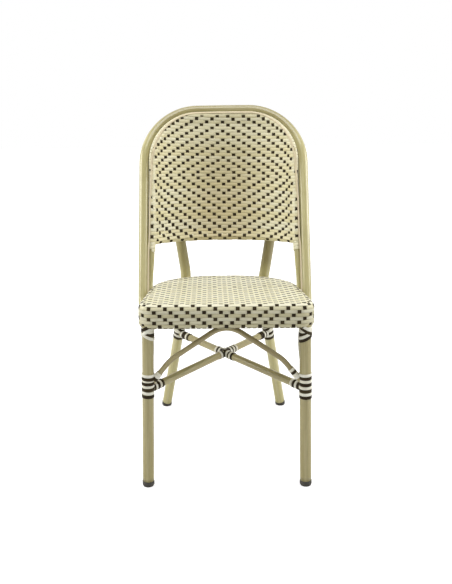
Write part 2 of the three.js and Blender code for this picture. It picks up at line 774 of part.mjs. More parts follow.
function addStretchers() {
  const radius = stretcherDiameter / 2;
  const bore = radius - stretcherWall;
  const [front, rear] = stretcherEnds(-1);
  const long = cut(rod(front, rear, radius, bore), boundFront.left, boundRear.right);
  addPiece("stretcher_long", long, paintedTube);
  const crossing = rod(front, rear, radius + fitGap);
  const meeting = stretcherMeeting();
  const [otherFront, otherRear] = stretcherEnds(1);
  const frontHalf = cut(rod(otherFront, meeting, radius, bore), boundFront.right, crossing);
  addPiece("stretcher_front_half", frontHalf, paintedTube);
  const rearHalf = cut(rod(meeting, otherRear, radius, bore), boundRear.left, crossing);
  addPiece("stretcher_rear_half", rearHalf, paintedTube);
}

// Height where the arch's two arms would cross, so that its rounded crown meets the seat frame.
function archApexHeight(knee) {
  const crown = seatTopAt(0) - frameBottomDepth - fitGap - archDiameter / 2 + archCrownSeat;
  let height = crown;
  for (let i = 0; i < crownPasses; i += 1) {
    const rise = height - knee.z;
    height = crown + (archTopBend / 2) * (rise / Math.hypot(rise, knee.x));
  }
  return height;
}

function archPoints() {
  const foot = frontLegAt(stretcherFrontHeight + archFootRise);
  const knee = vector(foot.x - archKneeInset, 0, foot.z + archKneeRise);
  const apex = vector(0, 0, archApexHeight(knee));
  const mirror = (point) => vector(-point.x, point.y, point.z);
  return [mirror(foot), mirror(knee), apex, knee, foot];
}

function addArch() {
  const path = roundedPath(archPoints(), [archKneeBend, archTopBend, archKneeBend]);
  const tube = tubeAlong(path, archSteps, archDiameter / 2, 0, smallSides);
  addPiece("arch_brace", cut(tube, boundFront.left, boundFront.right), paintedTube);
}

function addBindings() {
  const towardFront = vector(0, -1, 0);
  const upFront = vector(0, -1, 1);
  const radius = stretcherDiameter / 2;
  const reach = boundRadius(radius, smallTurnSteps);
  for (const [sideName, side] of Object.entries(sides)) {
    const otherSide = side < 0 ? "right" : "left";
    const placed = (point) => vector(side * point.x, point.y, point.z);
    const bound = (origin, axis, tubeRadius, facing, steps = smallTurnSteps) => (
      { origin, axis, radius: tubeRadius, facing, steps }
    );
    const legTop = placed(frontLegAt(stretcherFrontHeight + legBindingRise));
    const legDown = placed(frontLegAt(0)).sub(legTop);
    const legTube = bound(legTop, legDown, legRadius, towardFront, legTurnSteps);
    binding(`leg_binding_${sideName}`, legTube, 0, legBindingBands);
    const cornerTop = placed(frontLegAt(seatTopAt(0) - apronHeight - cornerBindingGap));
    const cornerTube = bound(cornerTop, legDown, legRadius, towardFront);
    binding(`corner_binding_${sideName}`, cornerTube, 0, cornerBindingBands);
    const rearTop = rearLegAt(side, stretcherRearHeight + rearBindingRise);
    const rearDown = rearLegAt(side, 0).sub(rearTop);
    const rearTube = bound(rearTop, rearDown, legRadius, towardFront);
    binding(`rear_binding_${sideName}`, rearTube, 0, rearBindingBands);

    const [front, rear] = stretcherEnds(side);
    const along = rear.clone().sub(front);
    const frontStart = clearStart(along, legDown, boundReach, reach);
    const frontEnd = bound(front, along, radius, upFront);
    binding(`stretcher_binding_${sideName}`, frontEnd, frontStart, stretcherFrontBands);
    const rearAxis = rearLegAt(-side, 0).sub(rear);
    const rearStart = clearStart(along, rearAxis, boundReach, reach);
    const rearEnd = bound(rear, along.clone().negate(), radius, upFront);
    binding(`stretcher_tail_binding_${otherSide}`, rearEnd, rearStart, stretcherRearBands);

    const [knee, foot] = archPoints().slice(-2).map(placed);
    const archUp = knee.clone().sub(foot);
    const archStart = clearStart(archUp, legDown, boundReach, archReach());
    const archTube = bound(foot, archUp, archDiameter / 2, towardFront);
    binding(`arch_binding_${sideName}`, archTube, archStart, archBands);

    const meeting = stretcherMeeting();
    const arms = { rear: rearLegAt(side, stretcherRearHeight), front };
    for (const [armName, armEnd] of Object.entries(arms)) {
      const arm = armEnd.clone().sub(meeting);
      const crossAxis = stretcherLine(armName === "rear" ? side : -side);
      const crossStart = clearStart(arm, crossAxis, reach, reach);
      const bands = crossBands[sideName][armName];
      const armTube = bound(meeting, arm, radius, upFront);
      binding(`cross_binding_${armName}_${sideName}`, armTube, crossStart, bands);
    }
  }
}

function archReach() {
  return boundRadius(archDiameter / 2, smallTurnSteps);
}

// Distance along a tube from the axis of a bound leg to where a binding on the tube clears that leg.
function clearStart(along, legAxis, legReach, reach) {
  const cosine = Math.abs(along.clone().normalize().dot(legAxis.clone().normalize()));
  return (legReach + reach * cosine) / Math.sqrt(1 - cosine * cosine);
}

// Origin on the floor, under the middle of everything.
const box = new THREE.Box3().setFromObject(chair);
const middle = box.getCenter(new THREE.Vector3());
chair.position.set(-middle.x, -middle.y, -box.min.z);
chair.updateMatrixWorld(true);

export default chair;
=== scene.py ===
import math
import bpy
import numpy as np
from mathutils import Matrix, Vector


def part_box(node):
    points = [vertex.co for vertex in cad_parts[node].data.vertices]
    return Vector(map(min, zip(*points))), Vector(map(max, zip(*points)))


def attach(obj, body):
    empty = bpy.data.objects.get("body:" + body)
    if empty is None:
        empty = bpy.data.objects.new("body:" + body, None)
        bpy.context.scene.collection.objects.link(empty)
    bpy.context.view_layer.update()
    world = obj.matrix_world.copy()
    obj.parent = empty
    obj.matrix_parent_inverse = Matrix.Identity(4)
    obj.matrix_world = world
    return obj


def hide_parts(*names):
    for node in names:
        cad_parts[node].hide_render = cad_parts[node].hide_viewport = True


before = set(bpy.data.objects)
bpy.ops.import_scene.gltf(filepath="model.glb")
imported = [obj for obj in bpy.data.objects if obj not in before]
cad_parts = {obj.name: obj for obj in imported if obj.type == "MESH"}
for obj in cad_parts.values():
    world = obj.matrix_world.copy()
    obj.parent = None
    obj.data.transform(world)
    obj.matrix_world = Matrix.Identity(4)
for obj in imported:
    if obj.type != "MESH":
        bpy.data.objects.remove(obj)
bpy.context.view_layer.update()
mm = 0.001
fitGap = 0.3  # millimetres between two pieces that touch

# The chair's sizes in millimetres: x from its middle, y from the plane of the front legs, z from the floor.
seat = {
    "frontHeight": 472, "frontY": -20, "depth": 390, "frontHalf": 209.3, "rearHalf": 177.3,
    "frontCorner": 38, "rearCorner": 165, "fall": 4.4, "dish": 4, "apron": 57.6, "crest": 10,
    "skin": 3.3,
}
legs = {
    "radius": 14, "frontInset": 24.3, "frontSplay": 1.45, "rearHalf": 106.8, "splaySide": 9.9,
    "splayBack": 18.5, "rearBend": 240, "uprightAngle": 44.3, "uprightLean": 4.5, "glideHeight": 14.3,
    "leanFrom": (390, 470), "leanTo": (560, 720), "stop": 7, "taper": 0.12, "taperFrom": 24,
}
back = {
    "hoopRadius": 12.5, "seatShare": 0.551, "seatGap": 5.6, "recline": 21, "top": 901.1, "corner": 137,
    "lean": 3, "foot": 316, "kneeDrop": 62, "shinHeight": 362, "shinShare": 0.51, "kneeBend": 47.5,
    "shinBend": 64.1, "curveLow": 270, "curveTop": 400, "ringRadius": 7, "ringGap": 2.5, "ringDrop": 12.3,
    "ringForward": 16, "forwardStart": 700, "footDrop": 4, "footOut": 4.7, "footBack": 14,
    "footHeight": 85, "railHeight": 559.5, "railRise": 9, "sleeveTail": 14, "ringFoot": 10,
}
brace = {
    "archRadius": 6.35, "archFoot": 262, "archKnee": 331.5, "archInset": 55, "archRise": 91.7, "kneeBend": 14,
    "topBend": 46, "stretcherRadius": 9.5, "stretcherFront": 257, "stretcherRear": 262,
}
pathSteps = {"bend": 16, "corner": 40, "top": 12, "post": 60}
tubeSteps = {"hoop": 5, "ring": 4, "frontLeg": 12, "rearLeg": 6, "arch": 4, "stretcher": 10}
tubeSides = {"thick": 28, "thin": 20, "stretcher": 24}


def slope(angle):
    return math.tan(math.radians(angle))


def smooth(value, low, high):
    share = np.clip((np.asarray(value, float) - low) / (high - low), 0, 1)
    return share * share * (3 - 2 * share)


def unit(vectors):
    vectors = np.asarray(vectors, float)
    return vectors / np.maximum(np.linalg.norm(vectors, axis=-1, keepdims=True), 1e-12)


def lengthsAlong(points):
    return np.concatenate([[0], np.cumsum(np.linalg.norm(np.diff(points, axis=0), axis=1))])


def normalOf(surface, u, v, step):
    across = surface(u + step, v) - surface(u - step, v)
    along = surface(u, v + step) - surface(u, v - step)
    return unit(np.cross(across, along))


def evenly(points, step):
    points = np.asarray(points, float)
    lengths = lengthsAlong(points)
    places = np.linspace(0, lengths[-1], max(2, int(round(lengths[-1] / step)) + 1))
    return np.stack([np.interp(places, lengths, points[:, i]) for i in range(points.shape[1])], axis=1)


def bentPath(corners, bends):  # straight runs, each inner corner rounded over a length on both sides
    corners = [np.asarray(corner, float) for corner in corners]
    path = [corners[0]]
    for before, corner, after, bend in zip(corners, corners[1:], corners[2:], bends):
        start = corner - unit(corner - before) * bend
        end = corner + unit(after - corner) * bend
        for share in np.linspace(0, 1, pathSteps["bend"]):
            path.append(start * (1 - share) ** 2 + corner * 2 * share * (1 - share) + end * share ** 2)
    path.append(corners[-1])
    return np.array(path)


def mirrored(half):  # a left half that runs up to the middle, and its right half
    half = np.asarray(half, float)
    return np.vstack([half, (half * [-1, 1, 1])[-2::-1]])


legLow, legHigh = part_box("front_leg_left")
shiftY = (legLow[1] + legHigh[1]) / 2 / mm  # the front legs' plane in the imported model


def toMetres(points):
    return (np.asarray(points, float) + [0, shiftY, 0]) * mm


# Where the pieces lie

sideAngle = math.atan2(seat["frontHalf"] - seat["rearHalf"], seat["depth"])
sideNormal = np.array([math.cos(sideAngle), math.sin(sideAngle)])
sideReach = sideNormal @ [seat["frontHalf"], seat["frontY"]]
seatRearY = seat["frontY"] + seat["depth"]


def seatTop(y):
    return seat["frontHeight"] - slope(seat["fall"]) * (y - seat["frontY"])


def seatHalf(y):
    return (sideReach - sideNormal[1] * y) / sideNormal[0]


def cornerCentre(radius, edgeY, inward):
    y = edgeY + inward * radius
    return np.array([(sideReach - radius - sideNormal[1] * y) / sideNormal[0], y])


frontCorner = cornerCentre(seat["frontCorner"], seat["frontY"], 1)
rearCorner = cornerCentre(seat["rearCorner"], seatRearY, -1)


def frontLegAt(side, z):
    topZ = seatTop(0) - seat["apron"] + seat["skin"]
    x = seat["frontHalf"] - legs["frontInset"] + slope(legs["frontSplay"]) * (topZ - z)
    return np.array([side * x, 0, z])


hoopSeatY = seat["frontY"] + seat["depth"] * back["seatShare"]
hoopSeatZ = seatTop(hoopSeatY)
hoopHalf = seatHalf(hoopSeatY) + back["seatGap"] + back["hoopRadius"]
hoopTopZ = back["top"] - back["hoopRadius"]
reclineCos = math.cos(math.radians(back["recline"]))
hoopCornerZ = hoopTopZ - back["corner"] * reclineCos
shoulderHalf = hoopHalf - back["lean"]
ringOffset = back["hoopRadius"] + back["ringRadius"] + back["ringGap"]
planShare = shoulderHalf / (shoulderHalf - ringOffset)
ringTopZ = hoopTopZ - back["ringDrop"]
ringCorner = back["corner"] - ringOffset
ringCornerX = shoulderHalf - back["corner"]
ringCornerZ = ringTopZ - ringCorner * reclineCos


def postY(z):
    return hoopSeatY + slope(back["recline"]) * (np.asarray(z, float) - hoopSeatZ)


def bulge(x, z):  # how far the back lies behind its sides
    rise = np.clip((np.asarray(z, float) - back["railHeight"]) / (hoopTopZ - back["railHeight"]), 0, 1)
    radius = back["curveLow"] + (back["curveTop"] - back["curveLow"]) * rise ** 3
    reach = np.minimum(np.abs(x), shoulderHalf)
    return np.sqrt(radius ** 2 - reach ** 2) - np.sqrt(radius ** 2 - shoulderHalf ** 2)


def hoopCornerAt(angle):
    x = shoulderHalf - back["corner"] + back["corner"] * np.cos(angle)
    z = hoopCornerZ + back["corner"] * reclineCos * np.sin(angle)
    return np.stack([-x, postY(z) + bulge(x, z), z], axis=-1)


def backSurface(x, z):
    forward = smooth(z, back["forwardStart"], ringTopZ) * back["ringForward"]
    x = np.asarray(x, float)
    return np.stack([x, postY(z) + bulge(x * planShare, z) - forward, np.asarray(z, float) + 0 * x], axis=-1)


def backNormal(x, z):  # towards the sitter
    return normalOf(backSurface, x, z, 1)


def ringHalf(z):
    z = np.asarray(z, float)
    straight = hoopHalf - back["lean"] * (z - hoopSeatZ) / (hoopCornerZ - hoopSeatZ) - ringOffset
    sine = np.clip((z - ringCornerZ) / (ringCorner * reclineCos), 0, 1)
    return np.where(z <= ringCornerZ, straight, ringCornerX + ringCorner * np.sqrt(1 - sine ** 2))


def railLift(x):
    return back["railRise"] * (np.asarray(x, float) / ringHalf(back["railHeight"])) ** 2


def hoopPath():
    foot = frontLegAt(-1, back["foot"])
    kneeZ = hoopSeatZ - back["kneeDrop"]
    knee = np.array([-hoopHalf, postY(kneeZ), kneeZ])
    shin = np.array([foot[0], knee[1] * back["shinShare"], back["shinHeight"]])
    postTop = np.array([-shoulderHalf, postY(hoopCornerZ), hoopCornerZ])
    lower = bentPath([foot, shin, knee, postTop], [back["shinBend"], back["kneeBend"]])
    corner = hoopCornerAt(np.linspace(0, math.pi / 2, pathSteps["corner"]))[1:]
    x = np.linspace(ringCornerX, 0, pathSteps["top"])[1:]
    top = np.stack([-x, postY(hoopTopZ) + bulge(x, hoopTopZ), hoopTopZ + 0 * x], axis=1)
    return mirrored(np.vstack([lower, corner, top]))


def ringPath(start, swinging=1):  # its feet swing outwards and back below the rail
    footTop = back["railHeight"] - back["sleeveTail"]
    z = np.linspace(start, ringCornerZ, pathSteps["post"])[:-1]
    swing = swinging * (1 - smooth(z, footTop - back["footHeight"], footTop))
    x = ringHalf(z)
    side = np.stack([-x - back["footOut"] * swing, backSurface(x, z)[:, 1] + back["footBack"] * swing, z], axis=1)
    angle = np.linspace(0, math.pi / 2, pathSteps["corner"])
    corner = backSurface(-(ringCornerX + ringCorner * np.cos(angle)),
                         ringCornerZ + ringCorner * reclineCos * np.sin(angle))
    top = backSurface(-np.linspace(ringCornerX, 0, pathSteps["top"])[1:], ringTopZ)
    return mirrored(np.vstack([side, corner, top]))


def rearLegCorners(side):
    touch = seat["rearCorner"] - seat["skin"] + legs["radius"] + fitGap
    sine = (legs["rearHalf"] - rearCorner[0]) / touch
    y = rearCorner[1] + touch * math.sqrt(1 - sine ** 2)
    knee = np.array([legs["rearHalf"], y, seatTop(y) - seat["apron"] / 2])
    drop = np.array([slope(legs["splaySide"]), slope(legs["splayBack"]), -1])
    hoopEnd = hoopCornerAt(math.radians(legs["uprightAngle"])) * [-1, 1, 1]
    inward = unit(drop) + unit(hoopEnd - knee)
    sine = np.linalg.norm(inward) / 2
    shift = legs["rearBend"] * (1 / math.sqrt(1 - sine ** 2) - 1)
    knee = knee - unit(inward * [1, 1, 0]) * shift
    return [point * [side, 1, 1] for point in (knee + drop * knee[2], knee, hoopEnd)]


def rearLegAt(side, z):
    foot, knee = rearLegCorners(side)[:2]
    return foot + (knee - foot) * (z - foot[2]) / (knee[2] - foot[2])


def rearLegPath(side):
    foot, knee, top = rearLegCorners(side)
    turn = math.acos(np.clip(unit(knee - foot) @ unit(top - knee), -1, 1))
    start = foot + unit(knee - foot) * legs["glideHeight"]
    bend = legs["rearBend"] * math.tan(turn / 2)
    path = evenly(bentPath([start, knee, top], [bend]), tubeSteps["rearLeg"])
    lean = smooth(path[:, 2], *legs["leanFrom"]) * (1 - smooth(path[:, 2], *legs["leanTo"]))
    return path + np.outer(lean, [legs["uprightLean"], 0, 0])


def archCorners():
    foot = frontLegAt(1, brace["archFoot"])
    knee = np.array([foot[0] - brace["archInset"], 0, brace["archKnee"]])
    apex = np.array([0, 0, brace["archKnee"] + brace["archRise"]])
    return [foot * [-1, 1, 1], knee * [-1, 1, 1], apex, knee, foot]


def stretcherEnds(side):
    return frontLegAt(side, brace["stretcherFront"]), rearLegAt(-side, brace["stretcherRear"])


def stretcherMeeting():
    front, rear = stretcherEnds(-1)
    return front + (rear - front) * front[0] / (front[0] - rear[0])


print("places worked out")


# Shader sums


class Flow:
    def __init__(self, node, output=0):
        self.node = node
        self.socket = node.outputs[output]

    def at(self, output):
        return Flow(self.node, output)

    def maths(self, operation, *values):
        return addNode(self.node.id_data, "ShaderNodeMath", {"operation": operation}, dict(enumerate(values)))

    def __add__(self, other):
        return self.maths("ADD", self, other)

    def __radd__(self, other):
        return self.maths("ADD", other, self)

    def __sub__(self, other):
        return self.maths("SUBTRACT", self, other)

    def __rsub__(self, other):
        return self.maths("SUBTRACT", other, self)

    def __mul__(self, other):
        return self.maths("MULTIPLY", self, other)

    def __rmul__(self, other):
        return self.maths("MULTIPLY", other, self)

    def __truediv__(self, other):
        return self.maths("DIVIDE", self, other)

    def __abs__(self):
        return self.maths("ABSOLUTE", self)


def addNode(tree, kind, settings=None, inputs=None, output=0):
    node = tree.nodes.new(kind)
    for name, value in (settings or {}).items():
        setattr(node, name, value)
    for name, value in (inputs or {}).items():
        if isinstance(value, Flow):
            tree.links.new(value.socket, node.inputs[name])
        else:
            node.inputs[name].default_value = value
    return Flow(node, output) if node.outputs else node


def colour(*levels):  # screen levels of 0 to 255
    shares = [level / 255 for level in levels]
    return tuple(s / 12.92 if s <= 0.04045 else ((s + 0.055) / 1.055) ** 2.4 for s in shares) + (1,)


def blend(tree, share, first, second):
    return addNode(tree, "ShaderNodeMix", {"data_type": "RGBA"}, {0: share, 6: first, 7: second}, output=2)


def attribute(tree, name, output="Fac"):
    return addNode(tree, "ShaderNodeAttribute", {"attribute_name": name}, None, output)


def noise(tree, place, scale, detail=2, roughness=0.5, stretch=(1, 1, 1)):
    placed = addNode(tree, "ShaderNodeMapping", None, {"Vector": place, "Scale": stretch})
    inputs = {"Vector": placed, "Scale": scale, "Detail": detail, "Roughness": roughness}
    return addNode(tree, "ShaderNodeTexNoise", None, inputs, output="Fac")


def ramp(tree, value, low, high):
    return addNode(tree, "ShaderNodeMapRange", {"interpolation_type": "SMOOTHSTEP"},
                   {"Value": value, "From Min": low, "From Max": high})


def shaded(tree, value, marks, first, second):  # marks: where the second tone starts, where it is full, how strong
    low, high, strength = marks
    return blend(tree, ramp(tree, value, low, high) * strength, first, second)


def emptyTree(holder):
    holder.use_nodes = True
    holder.node_tree.nodes.clear()
    return holder.node_tree


def finish(name, build):  # build(tree) gives the shader's sockets, the height of its relief and the depth of it
    material = bpy.data.materials.new(name)
    tree = emptyTree(material)
    sockets, relief, depth = build(tree)
    sockets["Normal"] = addNode(tree, "ShaderNodeBump", None, {"Height": relief, "Distance": depth})
    shader = addNode(tree, "ShaderNodeBsdfPrincipled", None, sockets)
    addNode(tree, "ShaderNodeOutputMaterial", None, {"Surface": shader})
    return material


paintLook = {"streakStretch": 0.035, "relief": 0.00012, "shade": (96, 80, 42), "coat": 0.3, "index": 1.52,
             "broad": 130, "fine": 520, "cloud": 28, "light": (0.42, 0.68), "streaks": (0.52, 0.78, 0.55),
             "clouds": (0.5, 0.8, 0.25), "unevenFine": 0.18, "unevenCloud": 0.08}


def tubePaint(name, tones, roughness):  # tan paint in long soft streaks, as on a cane
    def build(tree):
        base, light, dark = [colour(*levels) for levels in tones]
        place = attribute(tree, "tubeSpace", "Vector")
        stretch = (1, 1, paintLook["streakStretch"])
        broad = noise(tree, place, paintLook["broad"], stretch=stretch)
        fine = noise(tree, place, paintLook["fine"], 3, 0.6, stretch)
        cloud = noise(tree, place, paintLook["cloud"])
        tone = blend(tree, ramp(tree, broad, *paintLook["light"]), base, light)
        tone = shaded(tree, fine, paintLook["streaks"], tone, dark)
        tone = shaded(tree, cloud, paintLook["clouds"], tone, dark)
        tone = blend(tree, attribute(tree, "shade"), tone, colour(*paintLook["shade"]))
        rough = roughness + (fine - 0.5) * paintLook["unevenFine"] + (cloud - 0.5) * paintLook["unevenCloud"]
        sockets = {"Base Color": tone, "Roughness": rough, "IOR": paintLook["index"],
                   "Coat Weight": paintLook["coat"]}
        return sockets, fine, paintLook["relief"]
    return finish(name, build)


strandLook = {"roughness": 0.42, "relief": 0.0002, "edge": 0.5, "worn": (190, 166, 108), "drift": 2.2, "ribs": 5.5,
              "rim": (0.72, 1.02), "toneShare": 0.55, "driftShare": 0.6, "light": (0.35, 0.85),
              "ribShade": (0.5, 0.8, 0.5), "uneven": 0.25, "rimRough": 0.12, "alongScale": 9, "toneScale": 40,
              "ribStretch": (1, 0.25, 1)}


def strandFinish(name, tones, shine):  # extruded flat strand with fine lengthwise ribs
    def build(tree):
        base, light, dark = [colour(*levels) for levels in tones]
        across = attribute(tree, "across")
        along = attribute(tree, "along")
        tone = attribute(tree, "tone")
        inputs = {0: across, 1: along * strandLook["alongScale"], 2: tone * strandLook["toneScale"]}
        place = addNode(tree, "ShaderNodeCombineXYZ", None, inputs)
        drift = noise(tree, place, strandLook["drift"])
        ribs = noise(tree, place, strandLook["ribs"], 2, 0.6, strandLook["ribStretch"])
        mixed = tone * strandLook["toneShare"] + drift * strandLook["driftShare"]
        paint = blend(tree, ramp(tree, mixed, *strandLook["light"]), base, light)
        paint = shaded(tree, ribs, strandLook["ribShade"], paint, dark)
        # painted shade along each strand's edges, in the crevices where strands meet; the same edge mask also
        # roughens them
        rim = ramp(tree, abs(across), *strandLook["rim"])
        paint = blend(tree, rim * strandLook["edge"], paint, dark)
        # painted shade: the back's hollow middle turns darker and warmer
        paint = blend(tree, attribute(tree, "worn"), paint, colour(*strandLook["worn"]))
        rough = strandLook["roughness"] + (ribs - 0.5) * strandLook["uneven"] + rim * strandLook["rimRough"]
        return {"Base Color": paint, "Roughness": rough, "Specular IOR Level": shine}, ribs, strandLook["relief"]
    return finish(name, build)


hoopPaint = tubePaint("hoop paint", ((180, 172, 122), (196, 188, 142), (156, 146, 96)), 0.24)
# copies of one paint: the front legs darker as painted shade, the rear legs lighter as painted light
frontShadedPaint = tubePaint("front leg paint", ((159, 148, 99), (174, 164, 118), (134, 121, 74)), 0.3)
rearLitPaint = tubePaint("rear leg paint", ((190, 181, 124), (202, 194, 146), (166, 154, 100)), 0.34)
bracePaint = tubePaint("brace paint", ((164, 152, 104), (186, 176, 126), (134, 118, 76)), 0.36)
# painted shade: the arch is darker, as it lies in the shadow under the seat
archShadedPaint = tubePaint("arch paint", ((146, 132, 88), (168, 156, 110), (118, 102, 62)), 0.36)
creamFinish = strandFinish("cream strand", ((218, 209, 167), (226, 221, 192), (188, 176, 127)), 0.4)
seatCream = strandFinish("seat strand", ((219, 214, 181), (226, 223, 201), (188, 180, 136)), 0.4)
# copies of the seat's cream: the crest a little darker and the apron much darker, as painted shade on the faces
# turned away from the top light
crestHalfShadedCream = strandFinish("crest strand", ((214, 208, 174), (224, 220, 196), (180, 172, 126)), 0.38)
apronShadedCream = strandFinish("apron strand", ((194, 187, 151), (210, 206, 181), (157, 147, 103)), 0.35)
stripFinish = strandFinish("edge strip", ((206, 192, 158), (216, 204, 174), (172, 156, 118)), 0.3)
wrapCream = strandFinish("wrap strand", ((224, 219, 198), (232, 230, 216), (188, 180, 150)), 0.35)
blackFinish = strandFinish("black strand", ((44, 34, 16), (60, 50, 28), (28, 21, 10)), 0.14)
print("finishes made")


# Swept tubes


def sweptTube(name, path, radii, material, replaced, sides, shadeAt=None):
    path = np.asarray(path, float)
    count = len(path)
    radii = np.broadcast_to(np.asarray(radii, float), (count,))
    tangents = unit(np.gradient(path, axis=0))
    steep = abs(tangents[0][2]) >= 0.8
    side = unit(np.cross(tangents[0], [1, 0.2, 0] if steep else [0.3, -0.2, 1]))  # any direction across the tube
    rings, spaces, shades = [], [], []
    lengths = lengthsAlong(path)
    angles = np.arange(sides) / sides * 2 * math.pi
    for i in range(count):
        side = unit(side - tangents[i] * (side @ tangents[i]))
        other = np.cross(tangents[i], side)
        ring = np.outer(np.cos(angles), side) + np.outer(np.sin(angles), other)
        rings.append(path[i] + ring * radii[i])
        shades.append(shadeAt(path[i], tangents[i], ring) if shadeAt else angles * 0)
        crossways = [np.cos(angles) * radii[i], np.sin(angles) * radii[i]]
        spaces.append(np.stack(crossways + [angles * 0 + lengths[i]], axis=1))
    ends = [path[0], path[-1]]
    points = np.vstack(rings + [ends])
    spaces = np.vstack(spaces + [[[0, 0, 0], [0, 0, lengths[-1]]]])
    faces = []
    for i in range(count - 1):
        for j in range(sides):
            k = (j + 1) % sides
            faces.append((i * sides + j, i * sides + k, (i + 1) * sides + k, (i + 1) * sides + j))
    first, last = count * sides, count * sides + 1
    for j in range(sides):
        k = (j + 1) % sides
        faces.append((first, k, j))
        faces.append((last, (count - 1) * sides + j, (count - 1) * sides + k))
    mesh = bpy.data.meshes.new(name)
    mesh.from_pydata(toMetres(points).tolist(), [], faces)
    layer = mesh.attributes.new("tubeSpace", "FLOAT_VECTOR", "POINT")
    layer.data.foreach_set("vector", (spaces * mm).ravel())
    layer = mesh.attributes.new("shade", "FLOAT", "POINT")
    layer.data.foreach_set("value", np.concatenate(shades + [[0, 0]]))
    addPiece(name, mesh, material, replaced)


def addPiece(name, mesh, material, replaced):
    mesh.materials.clear()
    mesh.materials.append(material)
    mesh.polygons.foreach_set("use_smooth", [True] * len(mesh.polygons))
    mesh.update()
    piece = bpy.data.objects.new(name, mesh)
    bpy.context.scene.collection.objects.link(piece)
    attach(piece, "root")
    if replaced:
        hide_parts(*replaced)


hoopShade = {"turned": (0.7, 0.98), "strength": 0.2, "heights": (560, 600), "middle": 600,
             "top": 0.42, "topHeights": (800, 872)}


def hoopShadeAt(point, tangent, ring):  # the side turned to the weave is darker, and so is the top
    forward = backNormal(point[0], point[2])
    inward = unit(np.cross(tangent, forward))
    if inward @ (np.array([0, point[1], hoopShade["middle"]]) - point) < 0:
        inward = -inward
    strength = hoopShade["strength"] * smooth(point[2], *hoopShade["heights"])
    top = hoopShade["top"] * smooth(point[2], *hoopShade["topHeights"])
    return smooth(ring @ inward, *hoopShade["turned"]) * strength + top


uprightShade = {"heights": (430, 500), "strength": {-1: 0.42, 1: 0.6}}


def uprightShadeAt(point, tangent, ring):  # the uprights stand in the shadow of the seat and the back
    strength = uprightShade["strength"][-1 if point[0] < 0 else 1]
    return ring[:, 0] * 0 + strength * smooth(point[2], *uprightShade["heights"])


sweptTube("hoop_tube", evenly(hoopPath(), tubeSteps["hoop"]), back["hoopRadius"], hoopPaint,
          ["back_hoop"], tubeSides["thick"], hoopShadeAt)
ringStart = hoopSeatZ - back["footDrop"] - back["ringFoot"]
sweptTube("ring_tube", evenly(ringPath(ringStart), tubeSteps["ring"]), back["ringRadius"], hoopPaint,
          ["weave_ring"], tubeSides["thin"])
for side, sideName in ((-1, "left"), (1, "right")):
    legTop = frontLegAt(side, seatTop(0) - seat["apron"] / 2)
    legPath = evenly([frontLegAt(side, legs["glideHeight"]), legTop], tubeSteps["frontLeg"])
    sweptTube(f"front_leg_tube_{sideName}", legPath, legs["radius"], frontShadedPaint,
              [f"front_leg_{sideName}"], tubeSides["thick"])
    rearPath = evenly(rearLegPath(side), tubeSteps["rearLeg"])
    reach = lengthsAlong(rearPath)
    rearEnd = reach[-1] - legs["stop"]
    rearPath = rearPath[reach < rearEnd]
    taper = 1 - legs["taper"] * smooth(lengthsAlong(rearPath), reach[-1] - legs["taperFrom"], rearEnd)
    sweptTube(f"rear_leg_tube_{sideName}", rearPath, legs["radius"] * taper, rearLitPaint,
              [f"rear_leg_{sideName}"], tubeSides["thick"], uprightShadeAt)
archPath = bentPath(archCorners(), [brace["kneeBend"], brace["topBend"], brace["kneeBend"]])
sweptTube("arch_tube", evenly(archPath, tubeSteps["arch"]), brace["archRadius"], archShadedPaint,
          ["arch_brace"], tubeSides["thin"])
longFront, longRear = stretcherEnds(-1)
shortFront, shortRear = stretcherEnds(1)
meeting = stretcherMeeting()
for tubeName, start, end, replacedNode in (("long", longFront, longRear, "stretcher_long"),
                                           ("front", shortFront, meeting, "stretcher_front_half"),
                                           ("rear", meeting, shortRear, "stretcher_rear_half")):
    sweptTube(f"{tubeName}_stretcher_tube", evenly([start, end], tubeSteps["stretcher"]), brace["stretcherRadius"],
              bracePaint, [replacedNode], tubeSides["stretcher"])
print("tubes swept")


# Strands


